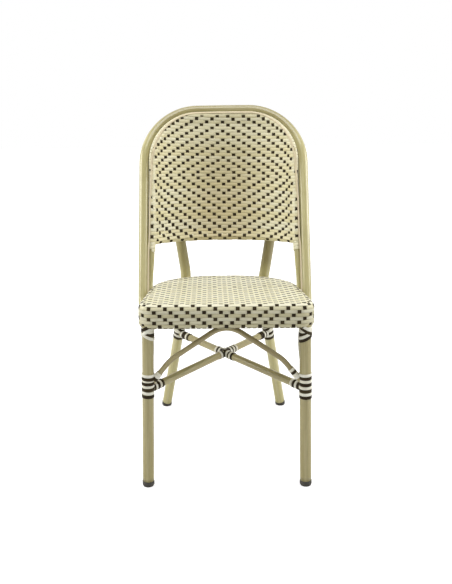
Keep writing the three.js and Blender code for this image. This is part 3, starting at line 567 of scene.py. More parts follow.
def strandTree():
    tree = bpy.data.node_groups.new("Flat strands", "GeometryNodeTree")
    face = tree.interface
    face.new_socket(name="Paths", in_out="INPUT", socket_type="NodeSocketGeometry")
    for title, start in (("Strand Width", 0.008), ("Strand Thickness", 0.0012), ("Edge Rounding", 0.0004),
                         ("Wave Height", 0.00065)):
        face.new_socket(name=title, in_out="INPUT", socket_type="NodeSocketFloat").default_value = start
    face.new_socket(name="Tone Seed", in_out="INPUT", socket_type="NodeSocketInt").default_value = 3
    face.new_socket(name="Finish", in_out="INPUT", socket_type="NodeSocketMaterial")
    face.new_socket(name="Strands", in_out="OUTPUT", socket_type="NodeSocketGeometry")
    given = addNode(tree, "NodeGroupInput")

    def stored(name, kind):
        return addNode(tree, "GeometryNodeInputNamedAttribute", {"data_type": kind}, {"Name": name})

    def store(geometry, name, kind, value):
        return addNode(tree, "GeometryNodeStoreNamedAttribute", {"data_type": kind, "domain": "POINT"},
                       {"Geometry": geometry, "Name": name, "Value": value})

    normal = stored("strandNormal", "FLOAT_VECTOR")
    lift = stored("wave", "FLOAT") * given.at("Wave Height")
    offset = addNode(tree, "ShaderNodeVectorMath", {"operation": "SCALE"}, {0: normal, "Scale": lift})
    waved = addNode(tree, "GeometryNodeSetPosition", None, {"Geometry": given.at("Paths"), "Offset": offset})
    curve = addNode(tree, "GeometryNodeMeshToCurve", None, {0: waved})
    curve = addNode(tree, "GeometryNodeSetCurveNormal", {"mode": "FREE"}, {0: curve, "Normal": normal})
    length = addNode(tree, "GeometryNodeSplineParameter", None, None, "Length")
    curve = store(curve, "along", "FLOAT", length)
    ids = stored("strandId", "INT")
    tone = addNode(tree, "FunctionNodeRandomValue", {"data_type": "FLOAT"},
                   {"ID": ids, "Seed": given.at("Tone Seed")}, output=1)
    curve = store(curve, "tone", "FLOAT", tone)
    outline = addNode(tree, "GeometryNodeCurvePrimitiveQuadrilateral", {"mode": "RECTANGLE"},
                      {0: given.at("Strand Thickness"), 1: given.at("Strand Width")})
    outline = addNode(tree, "GeometryNodeFilletCurve", {"mode": "POLY"},
                      {0: outline, "Count": 1, "Radius": given.at("Edge Rounding"), "Limit Radius": True})
    place = addNode(tree, "GeometryNodeInputPosition")
    split = addNode(tree, "ShaderNodeSeparateXYZ", None, {0: place}, output=1)
    outline = store(outline, "across", "FLOAT", split * 2 / given.at("Strand Width"))
    swept = addNode(tree, "GeometryNodeCurveToMesh", None,
                    {"Curve": curve, "Profile Curve": outline, "Fill Caps": True})
    swept = addNode(tree, "GeometryNodeRealizeInstances", None, {0: swept})
    swept = addNode(tree, "GeometryNodeSetMaterial", None, {"Geometry": swept, "Material": given.at("Finish")})
    addNode(tree, "NodeGroupOutput", None, {"Strands": swept})
    return tree


strands = strandTree()


def addStrands(name, paths, sizes, material, replaced, closed=False, middleShadeAt=None):
    points, normals, waves, ids, edges = [], [], [], [], []
    for number, (path, out, wave) in enumerate(paths):
        path = np.asarray(path, float)
        ahead = np.roll(path, -1, axis=0) - np.roll(path, 1, axis=0) if closed else np.gradient(path, axis=0)
        tangents = unit(ahead)
        out = np.asarray(out, float)
        out = unit(out - tangents * np.sum(out * tangents, axis=1, keepdims=True))
        start = len(points)
        points += path.tolist()
        normals += out.tolist()
        waves += list(np.broadcast_to(wave, len(path)))
        ids += [number] * len(path)
        edges += [(start + i, start + i + 1) for i in range(len(path) - 1)]
        if closed:
            edges.append((start + len(path) - 1, start))
    mesh = bpy.data.meshes.new(name)
    mesh.from_pydata(toMetres(points).tolist(), edges, [])
    mesh.attributes.new("strandNormal", "FLOAT_VECTOR", "POINT").data.foreach_set("vector", np.ravel(normals))
    mesh.attributes.new("wave", "FLOAT", "POINT").data.foreach_set("value", waves)
    mesh.attributes.new("strandId", "INT", "POINT").data.foreach_set("value", ids)
    worn = middleShadeAt(np.array(points)) if middleShadeAt else np.zeros(len(points))
    mesh.attributes.new("worn", "FLOAT", "POINT").data.foreach_set("value", worn)
    pathObject = bpy.data.objects.new(name + "_paths", mesh)
    bpy.context.scene.collection.objects.link(pathObject)
    modifier = pathObject.modifiers.new("Strands", "NODES")
    modifier.node_group = strands
    values = {"Strand Width": sizes["width"] * mm, "Strand Thickness": sizes["thickness"] * mm,
              "Edge Rounding": sizes["rounding"] * mm, "Wave Height": sizes.get("wave", 0) * mm,
              "Tone Seed": sizes.get("seed", 3), "Finish": material}
    for item in strands.interface.items_tree:
        if item.name in values:
            modifier[item.identifier] = values[item.name]
    graph = bpy.context.evaluated_depsgraph_get()
    graph.update()
    finished = bpy.data.meshes.new_from_object(pathObject.evaluated_get(graph))
    bpy.data.objects.remove(pathObject)
    addPiece(name, finished, material, replaced)
    finished.name = name


twill = 3  # a row passes over two columns and under the third, where the black dot shows


def isDot(row, number, foldRow):  # the dots' slant turns round at the fold and in the middle
    return (row + (abs(number) if row > foldRow else -abs(number))) % twill == 0


def rowSigns(row, numbers, foldRow):
    return [-1 if isDot(row, number, foldRow) else 1 for number in numbers]


def columnSigns(rows, number, foldRow):
    return [1 if isDot(row, number, foldRow) else -1 for row in rows]


def waveAt(places, knots, signs, flat=0.22):  # from one crossing's height to the next one's
    knots = np.asarray(knots, float)
    index = np.clip(np.searchsorted(knots, places) - 1, 0, len(knots) - 2)
    share = (places - knots[index]) / (knots[index + 1] - knots[index])
    signs = np.asarray(signs, float)
    return signs[index] + (signs[index + 1] - signs[index]) * smooth(share, flat, 1 - flat)


# Back weave: cream rows over black columns, two over and one under

backWeave = {
    "rowZero": 717.91, "rowPitch": 7.767, "rowSag": 7.51, "sagHalf": 187, "rowTilt": 0.0246, "tiltOver": 60,
    "rowsUp": 20, "rowsDown": 24, "columns": 17, "columnPitch": (13.628, 0.599), "columnSqueeze": (-0.00181, 0.00474),
    "columnTurn": 35.81e-6, "columnShift": (3.12, -3.25), "innerColumns": 13, "edgeArc": (217.5, 11), "edgeSunk": 1.8,
    "edgeOver": (0.3, 0.8), "spreadFrom": 570, "spreadOver": 270, "columnTop": 1, "tuckAngle": 29,
    "ringLayer": 8.75, "liftFrom": 22, "railLayer": 6.6, "railLiftFrom": 20, "railTuck": 285,
    "half": 196, "rowStep": 3.4, "columnStep": 2.1, "rollStep": 2.2, "rollStart": 0.8, "rowEnd": 1.5,
    "hidden": (-4.2, -3), "sinkOver": (2, 9), "guessPitch": 13, "foldRow": 0, "sampling": 1961, "shortest": 80,
    "normalStep": 0.5, "arcSteps": 100, "overHalf": 2, "nearRail": 2, "joinRail": 4, "spareRows": (2, 8),
    "shortRun": 3,
    "cream": {"width": 8.5, "thickness": 1.2, "rounding": 0.4, "wave": 0.65, "seed": 5},
    "black": {"width": 8.8, "thickness": 1.1, "rounding": 0.3, "wave": 0.65, "seed": 9}, "blackFlat": 0.42,
    "worn": {"strength": 0.39, "half": (20, 150), "heights": (640, 860)},
}


def rowRise(x, level):  # a row's height over its middle: it sags, and hangs lower on the right
    x = np.asarray(x, float)
    tilt = backWeave["rowTilt"] * smooth(level - back["railHeight"], 0, backWeave["tiltOver"])
    return backWeave["rowSag"] * (x / backWeave["sagHalf"]) ** 2 - tilt * x


def rowHeight(row, x):
    level = backWeave["rowZero"] - backWeave["rowPitch"] * row
    return level + rowRise(x, level)


def rowNumber(x, z):  # the row that lies at a place, with its fraction
    level = z - backWeave["rowSag"] * (np.asarray(x, float) / backWeave["sagHalf"]) ** 2
    return (backWeave["rowZero"] + rowRise(x, level) - z) / backWeave["rowPitch"]


def columnArc(number, z):
    t = (z - backWeave["spreadFrom"]) / backWeave["spreadOver"]
    pitch, squeeze, shift = (backWeave[name][0] + backWeave[name][1] * t
                             for name in ("columnPitch", "columnSqueeze", "columnShift"))
    inner = float(np.clip(number, -backWeave["innerColumns"], backWeave["innerColumns"]))
    arc = pitch * inner - squeeze * inner ** 3 - backWeave["columnTurn"] * (1 - t) * inner ** 5 + shift
    share = (abs(number) - abs(inner)) / (backWeave["columns"] - backWeave["innerColumns"])
    edgeArc = backWeave["edgeArc"][0] + backWeave["edgeArc"][1] * smooth(t, *backWeave["edgeOver"])
    return arc + (math.copysign(edgeArc, number) - arc) * share


def acrossAtArc(arc, z):  # x of a point at a length from the middle, measured round the back's curve
    x = np.linspace(0, backWeave["half"] + backWeave["overHalf"], backWeave["arcSteps"])
    lengths = lengthsAlong(backSurface(x, z)[:, :2])
    return np.sign(arc) * np.interp(np.abs(arc), lengths, x)


def edgeInset(x, z):  # distance inside the ring's centre line, over the back's surface
    x, z = np.abs(np.asarray(x, float)), np.asarray(z, float)
    half = ringHalf(np.minimum(z, ringCornerZ))
    right = x - (half - ringCorner)
    up = (z - ringCornerZ) / reclineCos
    corner = ringCorner - np.hypot(np.maximum(right, 0), np.maximum(up, 0))
    return np.where((right > 0) & (up > 0), corner, np.minimum(half - x, ringCorner - up))


def tangentLift(distance, layer, reach):  # a straight run that leaves the sheet and meets a round
    tilt = math.asin(layer / reach)
    touch = layer * math.sin(tilt)
    straight = (reach - distance) * math.tan(tilt)
    around = np.sqrt(np.maximum(layer ** 2 - distance ** 2, 0))
    return np.where(distance > touch, np.maximum(straight, 0), around)


def weavePoint(x, z):
    lift = tangentLift(edgeInset(x, z), backWeave["ringLayer"], backWeave["liftFrom"])
    railDistance = (z - railCentre(x)) / reclineCos
    railDistance = np.maximum(railDistance, backWeave["nearRail"])
    railLifted = tangentLift(railDistance, backWeave["railLayer"], backWeave["railLiftFrom"])
    lift = np.maximum(lift, railLifted)
    return backSurface(x, z) + backNormal(x, z) * lift[..., None]


def railCentre(x):
    return back["railHeight"] + railLift(x)


railTilt = math.asin(backWeave["railLayer"] / backWeave["railLiftFrom"])
railTouch = backWeave["railLayer"] * math.sin(railTilt)


def rolledPoint(x, drop):  # drop is the length below the place where the sheet meets the rail's round
    angle = math.pi / 2 - railTilt + np.asarray(drop, float) / backWeave["railLayer"]
    z = railCentre(x)
    centre = backSurface(x, z)
    up = unit(backSurface(x, z + 1) - backSurface(x, z - 1))
    out = backNormal(x, z)
    direction = up * np.cos(angle)[..., None] + out * np.sin(angle)[..., None]
    return centre + direction * backWeave["railLayer"], direction


ringTuck = -backWeave["ringLayer"] * math.sin(math.radians(backWeave["tuckAngle"]))
railArc = backWeave["railLayer"] * (math.radians(backWeave["railTuck"]) - math.pi / 2 + railTilt)
backNumbers = np.arange(-backWeave["columns"], backWeave["columns"] + 1)


def columnPlace(number, z):
    return acrossAtArc(columnArc(number, z), z)


def backRows():
    paths = []
    for row in range(-backWeave["rowsUp"], backWeave["rowsDown"] + 1):
        x = np.linspace(-backWeave["half"], backWeave["half"], backWeave["sampling"])
        z = rowHeight(row, x)
        signs = rowSigns(row, backNumbers, backWeave["foldRow"])
        height = (rowHeight(row, 0) - back["railHeight"]) / reclineCos
        if height > railTouch:
            inside = edgeInset(x, z) >= ringTuck
            if inside.sum() < backWeave["shortest"]:
                continue
            first, last = x[inside][[0, -1]]
            x = np.linspace(first, last, int((last - first) / backWeave["rowStep"]) + 1)
            z = rowHeight(row, x)
            points, out = weavePoint(x, z), normalOf(weavePoint, x, z, backWeave["normalStep"])
            lastFlat, lastRow = height, row
            knots = [columnPlace(n, rowHeight(row, backWeave["guessPitch"] * n)) for n in backNumbers]
        else:
            drop = (railTouch - lastFlat) / math.cos(railTilt) + backWeave["rowPitch"] / reclineCos
            drop += (backWeave["rowPitch"] / reclineCos) * (row - lastRow - 1)
            if drop > railArc:
                continue
            last = ringHalf(back["railHeight"]) + backWeave["overHalf"]
            first = -last
            x = np.linspace(first, last, 2 * int(last / backWeave["rowStep"]) + 1)
            points, out = rolledPoint(x, np.full(len(x), drop))
            knots = [columnPlace(n, back["railHeight"]) for n in backNumbers]
        fade = smooth(np.minimum(last - x, x - first), 0, backWeave["rowEnd"])
        paths.append((points, out, waveAt(x, knots, signs) * fade))
    return paths


def runsOf(keep):  # the unbroken runs of places that are kept
    change = np.flatnonzero(np.diff(np.concatenate([[0], keep.astype(int), [0]])))
    return [slice(start, stop) for start, stop in change.reshape(-1, 2) if stop - start > backWeave["shortRun"]]


def backColumns():
    paths = []
    above, below = backWeave["spareRows"]  # past both ends of every column
    knots = np.arange(-backWeave["rowsUp"] - above, backWeave["rowsDown"] + below)
    topZ, lowZ = ringTopZ - backWeave["columnTop"], back["railHeight"] - backWeave["nearRail"]
    for number in backNumbers:
        allZ = np.arange(topZ, lowZ, -backWeave["columnStep"])
        allX = np.array([columnPlace(number, height) for height in allZ])
        low = railCentre(allX) + railTouch * reclineCos
        for run in runsOf((edgeInset(allX, allZ) >= ringTuck) & (allZ > low + 1)):
            x, z = allX[run], allZ[run]
            points, out = weavePoint(x, z), normalOf(weavePoint, x, z, backWeave["normalStep"])
            rows = rowNumber(x, z)
            if z[-1] < low[run][-1] + backWeave["joinRail"]:  # it reaches the rail and rolls round it
                drops = np.arange(backWeave["rollStart"], railArc, backWeave["rollStep"])
                lastX = columnPlace(number, back["railHeight"])
                rolled, rolledOut = rolledPoint(np.full(len(drops), lastX), drops)
                tangentPlace = railCentre(lastX) + railTouch * reclineCos
                rowThere = rowNumber(lastX, tangentPlace)
                points = np.vstack([points, rolled])
                out = np.vstack([out, rolledOut])
                rows = np.concatenate([rows, rowThere + drops * reclineCos / backWeave["rowPitch"]])
            signs = columnSigns(knots, number, backWeave["foldRow"])
            inset = edgeInset(x, z)
            inset = np.concatenate([inset, np.full(len(rows) - len(inset), inset[-1])])
            shown = smooth(inset, *backWeave["hidden"])
            wave = waveAt(rows, knots, signs, backWeave["blackFlat"]) * shown - (1 - shown)
            sunk = 1 + backWeave["edgeSunk"] * (1 - smooth(inset, *backWeave["sinkOver"]))
            paths.append((points, out, np.where(wave < 0, wave * sunk, wave)))
    return paths


# painted shade: the back's hollow middle gets less light, so it is painted darker and warmer
def middleShadeAt(points):  # the middle of the back, darker and warmer
    worn = backWeave["worn"]
    side = 1 - smooth(np.abs(points[:, 0]), *worn["half"])
    return worn["strength"] * side * (1 - smooth(points[:, 2], *worn["heights"]))


addStrands("back_weave_rows", backRows(), backWeave["cream"], creamFinish, ["back_weave"],
           middleShadeAt=middleShadeAt)
addStrands("back_weave_columns", backColumns(), backWeave["black"], blackFinish, ["back_weave"])
print("back woven")


# Winding round the ring, and the strip that covers the strands' ends

ringWinding = {"pitch": 8.4, "start": 546, "gap": 1, "outerGap": 0.75, "turnSteps": 14,
               "strand": {"width": 8.3, "thickness": 1.3, "rounding": 0.4, "seed": 21}}
edgeStrip = {"layer": 10.3, "foot": 14, "angle": 26, "shift": 1.1, "lowShift": 2.5, "heights": (540, 590), "step": 4,
             "strand": {"width": 4.9, "thickness": 1.6, "rounding": 0.6, "seed": 31}}


def pathFrames(path):  # forward and outward directions along a path of the back's ring
    tangents = unit(np.gradient(path, axis=0))
    forward = backNormal(path[:, 0], path[:, 2])
    forward = unit(forward - tangents * np.sum(forward * tangents, axis=1, keepdims=True))
    return forward, np.cross(tangents, forward)


windingPath = evenly(ringPath(ringWinding["start"]), ringWinding["pitch"] / ringWinding["turnSteps"])
forward, outward = pathFrames(windingPath)
turn = np.arange(len(windingPath)) / ringWinding["turnSteps"] * 2 * math.pi
direction = forward * np.cos(turn)[:, None] + outward * np.sin(turn)[:, None]
layer = back["ringRadius"] + ringWinding["gap"] + ringWinding["outerGap"] * np.abs(np.sin(turn)) ** 3
addStrands("ring_winding", [(windingPath + direction * layer[:, None], direction, 0)], ringWinding["strand"],
           creamFinish, ["weave_ring"])
stripPath = evenly(ringPath(hoopSeatZ - edgeStrip["foot"], 0), edgeStrip["step"])
forward, outward = pathFrames(stripPath)
if np.mean(outward[: len(outward) // 3, 0]) > 0:
    outward = -outward
angle = math.radians(edgeStrip["angle"])
direction = forward * math.cos(angle) + outward * math.sin(angle)
lowShift = edgeStrip["lowShift"] * (1 - smooth(stripPath[:, 2], *edgeStrip["heights"]))
stripPath = stripPath + outward * (lowShift + edgeStrip["shift"])[:, None]
addStrands("edge_strip_band", [(stripPath + direction * edgeStrip["layer"], direction, 0)], edgeStrip["strand"],
           stripFinish, ["edge_strip"])
print("ring wound")


# Seat weave

seatWeave = {
    "cornerLeft": 4, "cornerStep": 4.5, "crestRows": 2,
    "rowPitch": 8.4, "firstRow": 4.6, "columnPitch": 13.05, "foldRow": -28, "layer": -0.3, "topRows": 45,
    "section": [(10, 0), (3, 3.46), (0, 11.5), (0, 49.5), (3, 55.3), (10, 57.6), (13, 57.6)], "sectionEnd": 70,
    "rounding": 2.5, "tuck": 4.5, "dive": 1.5, "diveOver": (-14, -8), "waveOver": (7, 15), "half": 210,
    "columnHalf": 200, "rearFrom": 100, "rowStep": 3.3, "columnStep": 2.6, "apronStep": 2.2, "apronStart": -4,
    "apronSteps": 4, "frontStart": 0.8, "sampling": 400, "normalStep": 0.7, "spare": 4, "lastKnot": 14,
    "roundingSteps": 7, "directionStep": 1, "shortest": 5, "sunkOver": (-3, 2), "shownOver": (-2, 1),
    "outlineSteps": {"front": 60, "corner": 24, "side": 60, "rearCorner": 70, "rear": 8},
    "cream": {"width": 8.5, "thickness": 1.2, "rounding": 0.4, "wave": 0.65, "seed": 12},
    "black": {"width": 8.8, "thickness": 1.1, "rounding": 0.3, "wave": 0.65, "seed": 17}, "blackFlat": 0.42,
}


def seatOutline():
    points, normals = [], []

    def line(start, end, normal, steps):
        for share in np.linspace(0, 1, steps, endpoint=False):
            points.append(np.asarray(start) * (1 - share) + np.asarray(end) * share)
            normals.append(np.asarray(normal, float))

    def arc(centre, radius, start, end, steps):
        for angle in np.linspace(start, end, steps, endpoint=False):
            normal = np.array([math.cos(angle), math.sin(angle)])
            points.append(centre + normal * radius)
            normals.append(normal)

    frontEdge, quarter = seat["frontY"], math.pi / 2
    steps = seatWeave["outlineSteps"]
    line((0, frontEdge), (frontCorner[0], frontEdge), (0, -1), steps["front"])
    arc(frontCorner, seat["frontCorner"], -quarter, sideAngle, steps["corner"])
    sideStart = frontCorner + sideNormal * seat["frontCorner"]
    sideEnd = rearCorner + sideNormal * seat["rearCorner"]
    line(sideStart, sideEnd, sideNormal, steps["side"])
    arc(rearCorner, seat["rearCorner"], sideAngle, quarter, steps["rearCorner"])
    line((rearCorner[0], seatRearY), (0, seatRearY), (0, 1), steps["rear"])
    points.append(np.array([0, seatRearY]))
    normals.append(np.array([0.0, 1.0]))
    return np.array(points), np.array(normals)


outlinePoints, outlineNormals = seatOutline()
outlineLengths = lengthsAlong(outlinePoints)
halfRound = outlineLengths[-1]
columnCount = round(halfRound / seatWeave["columnPitch"])
columnPitch = halfRound / columnCount


def outlineAt(length, inset):  # length round the seat's edge from the front's middle
    reach = np.abs(length)
    mirror = np.where(np.asarray(length) < 0, -1, 1)
    point = [np.interp(reach, outlineLengths, outlinePoints[:, i]) for i in (0, 1)]
    normal = [np.interp(reach, outlineLengths, outlineNormals[:, i]) for i in (0, 1)]
    size = np.hypot(*normal)
    x = (point[0] - normal[0] / size * inset) * mirror
    return np.stack([x, point[1] - normal[1] / size * inset], axis=-1)


sectionPoints = np.array(seatWeave["section"], float)
sectionLengths = lengthsAlong(sectionPoints)
crestY = seat["frontY"] + seat["crest"]


def sectionAt(t):  # inset and depth at a length from where the crest starts, with rounded corners
    t = np.asarray(t, float)
    total = 0
    offsets = np.linspace(-1, 1, seatWeave["roundingSteps"]) * seatWeave["rounding"]
    for offset in offsets:
        place = t + offset
        inset = np.interp(place, sectionLengths, sectionPoints[:, 0]) - np.minimum(place, 0)
        inset = inset + np.maximum(place - sectionLengths[-1], 0)
        total = total + np.stack([inset, np.interp(place, sectionLengths, sectionPoints[:, 1])], axis=-1)
    return total / len(offsets)


def sectionPlace(length, t, raised=0.0):  # a point on the apron, moved in by the weave's layer
    here = sectionAt(t)
    half = seatWeave["directionStep"] / 2
    step = sectionAt(t + half) - sectionAt(t - half)
    step = step / np.linalg.norm(step, axis=-1, keepdims=True)
    inward = np.stack([step[..., 1], -step[..., 0]], axis=-1)
    here = here + inward * (seatWeave["layer"] - np.asarray(raised))[..., None]
    plan = outlineAt(length, here[..., 0])
    outer = outlineAt(length, here[..., 0] - 1)
    flat = unit(outer - plan)
    z = seatTop(plan[..., 1]) - here[..., 1]
    normal = np.concatenate([flat * inward[..., :1], inward[..., 1:]], axis=-1)
    return np.concatenate([plan, z[..., None]], axis=-1), normal


def bothSides(half):  # a right half of the seat's outline, and its left half
    return np.vstack([half, (half * [-1, 1])[::-1]])


gaugeMiddle = np.array([0, seat["frontY"] + seat["depth"] / 2])
fullInner = bothSides(outlinePoints - outlineNormals * seat["crest"])
gaugeAngles = np.arctan2(fullInner[:, 1] - gaugeMiddle[1], fullInner[:, 0])
gaugeOrder = np.argsort(gaugeAngles)
gaugeReach = np.linalg.norm(fullInner - gaugeMiddle, axis=1)


def seatShare(x, y):  # 0 in the seat's middle, 1 where its crest starts
    angle = np.arctan2(y - gaugeMiddle[1], x)
    reach = np.interp(angle, gaugeAngles[gaugeOrder], gaugeReach[gaugeOrder], period=2 * math.pi)
    return np.hypot(x, y - gaugeMiddle[1]) / reach


def seatInset(x, y):
    full, normals = bothSides(outlinePoints), bothSides(outlineNormals)
    place = np.stack([np.ravel(x), np.ravel(y)], axis=1)
    away = full[None] - place[:, None]
    nearest = np.argmin(np.sum(away ** 2, axis=2), axis=1)
    inset = np.sum(away[np.arange(len(place)), nearest] * normals[nearest], axis=1)
    return inset.reshape(np.shape(x))


def seatPoint(x, y, lowered=0.0):
    inset = seatInset(x, y)
    edge = np.interp(inset, sectionPoints[2::-1, 0], sectionPoints[2::-1, 1])
    dish = seat["dish"] * (1 - np.minimum(seatShare(x, y), 1) ** 2)
    z = seatTop(y) - dish - edge - seatWeave["layer"] - lowered
    return np.stack([x, y, z], axis=-1)


def seatNormal(x, y):
    return normalOf(seatPoint, x, y, seatWeave["normalStep"])


straightColumns = int(frontCorner[0] / columnPitch)  # on each side of the middle, over the front edge
cornerColumn = straightColumns + seatWeave["cornerLeft"]  # left out, and the one before it set further round
apronNumbers = np.array([n for n in range(-columnCount + 1, columnCount + 1) if abs(n) != cornerColumn])
cornerShift = np.where(np.abs(apronNumbers) == cornerColumn - 1, np.sign(apronNumbers) * seatWeave["cornerStep"], 0)
apronPlaces = apronNumbers * columnPitch + cornerShift


def seatTopRows():
    paths = []
    numbers = np.arange(-columnCount, columnCount + 1)
    for k in range(1, seatWeave["topRows"] + 1):
        y = crestY + seatWeave["rowPitch"] * k - seatWeave["firstRow"]
        x = np.linspace(0, seatWeave["half"], seatWeave["sampling"])
        inset = seatInset(x, x * 0 + y)
        inside = x[inset >= seatWeave["tuck"]]
        if not len(inside):
            continue
        limit = inside[-1]
        x = np.linspace(-limit, limit, 2 * int(limit / seatWeave["rowStep"]) + 1)
        flat = x * 0 + y
        inset = seatInset(x, flat)
        lowered = seatWeave["dive"] * smooth(-inset, *seatWeave["diveOver"])
        signs = rowSigns(-k, numbers, seatWeave["foldRow"])
        wave = waveAt(x, numbers * columnPitch, signs) * smooth(inset, *seatWeave["waveOver"])
        paths.append((seatPoint(x, flat, lowered), seatNormal(x, flat), wave))
    return paths


def seatColumns():
    paths = []
    knots = np.arange(-seatWeave["topRows"] - seatWeave["spare"], seatWeave["lastKnot"])
    rows = seatWeave["rowPitch"]
    for number in range(-columnCount, columnCount + 1):
        x = number * columnPitch
        if abs(x) > seatWeave["columnHalf"]:
            continue
        overFront = abs(number) <= straightColumns
        y = np.arange(seatRearY, crestY if overFront else seat["frontY"], -seatWeave["columnStep"])
        inset = seatInset(y * 0 + x, y)
        keep = inset >= seatWeave["tuck"]
        if keep.sum() < seatWeave["shortest"]:
            continue
        y, inset = y[keep], inset[keep]
        dive = smooth(-inset, *seatWeave["diveOver"])
        if overFront:
            dive = dive * (y > seatWeave["rearFrom"])
        across = y * 0 + x
        points, out = seatPoint(across, y, seatWeave["dive"] * dive), seatNormal(across, y)
        places = (crestY - y - seatWeave["firstRow"]) / rows
        if overFront:
            t = np.arange(seatWeave["frontStart"], seatWeave["sectionEnd"], seatWeave["columnStep"])
            front, frontOut = sectionPlace(t * 0 + x, t)
            points, out = np.vstack([points, front]), np.vstack([out, frontOut])
            places = np.concatenate([places, (t - seatWeave["firstRow"]) / rows])
        signs = columnSigns(knots, number, seatWeave["foldRow"])
        paths.append((points, out, waveAt(places, knots, signs, seatWeave["blackFlat"])))
    return paths


def apronRows(rows):
    paths = []
    count = columnCount * 2 * seatWeave["apronSteps"]
    lengths = (np.arange(count) / count - 0.5) * 2 * halfRound
    for row in rows:
        t = lengths * 0 + seatWeave["firstRow"] + seatWeave["rowPitch"] * row
        points, out = sectionPlace(lengths, t)
        signs = rowSigns(row, apronNumbers, seatWeave["foldRow"])
        paths.append((points, out, waveAt(lengths, apronPlaces, signs)))
    return paths


def apronColumns():
    paths = []
    knots = np.arange(-seatWeave["spare"], seatWeave["lastKnot"])
    for number, place in zip(apronNumbers, apronPlaces):
        if abs(number) <= straightColumns:
            continue
        t = np.arange(seatWeave["apronStart"], seatWeave["sectionEnd"], seatWeave["apronStep"])
        length = t * 0 + place
        sunk = -seatWeave["dive"] * smooth(-t, *seatWeave["sunkOver"])
        points, out = sectionPlace(length, t, sunk)
        signs = columnSigns(knots, number, seatWeave["foldRow"])
        wave = waveAt((t - seatWeave["firstRow"]) / seatWeave["rowPitch"], knots, signs, seatWeave["blackFlat"])
        paths.append((points, out, wave * smooth(t, *seatWeave["shownOver"])))
    return paths


addStrands("seat_top_rows", seatTopRows(), seatWeave["cream"], seatCream, ["seat_weave"])
addStrands("seat_columns", seatColumns(), seatWeave["black"], blackFinish, ["seat_weave"])
lastRow = int((seatWeave["sectionEnd"] - seatWeave["firstRow"]) / seatWeave["rowPitch"])
crest = seatWeave["crestRows"]
# the crest rows take the half-shaded cream and the apron rows the shaded cream, as painted shade
for pieceName, rows, look in (("crest_rows", range(crest), crestHalfShadedCream),
                              ("apron_rows", range(crest, lastRow + 1), apronShadedCream)):
    addStrands(pieceName, apronRows(rows), seatWeave["cream"], look, ["seat_weave"], closed=True)
addStrands("apron_columns", apronColumns(), seatWeave["black"], blackFinish, ["seat_weave"])
print("seat woven")


# Bindings at the joints

wrapSizes = {
    "legRise": 39, "rearRise": 28, "cornerGap": 2, "gap": 0.2, "lift": {"cream": 0.25, "black": 0},
    "cream": {"width": 7.4, "thickness": 1.1, "rounding": 0.4, "seed": 40},
    "black": {"width": 8, "thickness": 1.1, "rounding": 0.4, "seed": 41}, "steps": 44, "knotSteps": 48,
}
wrapTurns = {  # tone, distance from the joint's start, slope across, and lift over other turns
    "leg_left": [("cream", 1.5), ("black", 9.5, -0.06, 0.4), ("cream", 15.9, 0, -0.1), ("black", 21.6, 0, 0.4),
                 ("cream", 28.7, 0.04), ("black", 36.9, 0.02), ("cream", 45.5, -0.03), ("black", 54.6)],
    "leg_right": [("cream", 2.6, 0.03), ("black", 10.4), ("cream", 18.3, -0.03), ("black", 26.4, -0.04),
                  ("cream", 34.6), ("black", 42.6, -0.03), ("cream", 51.2), ("black", 59.2, -0.02)],
    "corner_left": [("cream", -1), ("cream", 5.5), ("black", 11.6, -0.2, 0.3), ("cream", 18, -0.47, 0.7),
                    ("black", -6.4, 0.6, 0.9), ("cream", 3.4, 0.68, 1.3)],
    "corner_right": [("cream", 0), ("cream", 7), ("black", 12.6, 0.2, 0.3), ("black", 25.5, 0.45, 0.3),
                     ("cream", 17.3, 0.5, 0.9), ("black", 5.3, -0.64, 1), ("cream", -2.2, -0.6, 1.3)],
    "rear_left": [("cream", 5), ("cream", 12, -0.2), ("black", 7.5, -0.6, 0.5), ("cream", 18.1),
                  ("black", 24.6, -0.1), ("cream", 32.4, -0.05), ("black", 40.7, -0.05)],
    "rear_right": [("cream", 5), ("cream", 12, 0.2), ("black", 7.5, 0.6, 0.5), ("cream", 17.5), ("black", 26.2, 0.1),
                   ("cream", 34.4, 0.05), ("black", 43, 0.05)],
    "stretcher_left": [("black", 17), ("cream", 22.5), ("black", 30.5, 0, 0.4), ("cream", 38),
                       ("black", 45.5, 0, 0.4)],
    "stretcher_right": [("black", 17.5), ("cream", 25.5), ("black", 33), ("cream", 41.3)],
    "tail_left": [("cream", 23), ("black", 31, 0, 0.4), ("black", 38.8), ("cream", 46), ("black", 52.5)],
    "tail_right": [("cream", 17.6), ("black", 24.4), ("cream", 30), ("black", 37.2, 0, 0.4), ("black", 45)],
    "arch_left": [("black", 29), ("cream", 36.6), ("cream", 43.8)],
    "arch_right": [("cream", 33), ("cream", 40.4), ("black", 48), ("cream", 55.2)],
    "cross_rear_left": [("cream", 14), ("black", 20.6, 0, 0.4), ("cream", 27.6)],
    "cross_rear_right": [("black", 12), ("cream", 18.4), ("black", 24.4), ("cream", 30.6), ("black", 36.6),
                         ("cream", 42.6)],
    "cross_front_left": [("black", 17), ("cream", 24)],
    "cross_front_right": [("cream", 18), ("black", 23.6), ("cream", 30.4), ("black", 36.6)],
    "knot": [("cream", 7.2, "side", 0.5), ("cream", 1.2, "side", 0.2), ("black", -8, "front", 0),
             ("black", 0, "front", 0), ("black", 7.6, "front", 0)],
}


def turnPlace(tone, distance, lean=0, lift=None):  # a level turn is raised by its tone, a sloped one isn't
    if lift is None:
        lift = 0 if lean else wrapSizes["lift"][tone]
    return distance, lean, wrapSizes["gap"] + wrapSizes[tone]["thickness"] / 2 + lift


def addTurns(name, turns, replaced, placeTurn):
    for tone, material in (("cream", wrapCream), ("black", blackFinish)):
        paths = [placeTurn(*turnPlace(*turn)) for turn in turns if turn[0] == tone]
        addStrands(f"{name}_{tone}", paths, wrapSizes[tone], material,
                   [f"{replaced}_{tone}"] if replaced else [], closed=True)


def circle(steps):
    return (np.arange(steps) / steps * 2 * math.pi)[:, None]


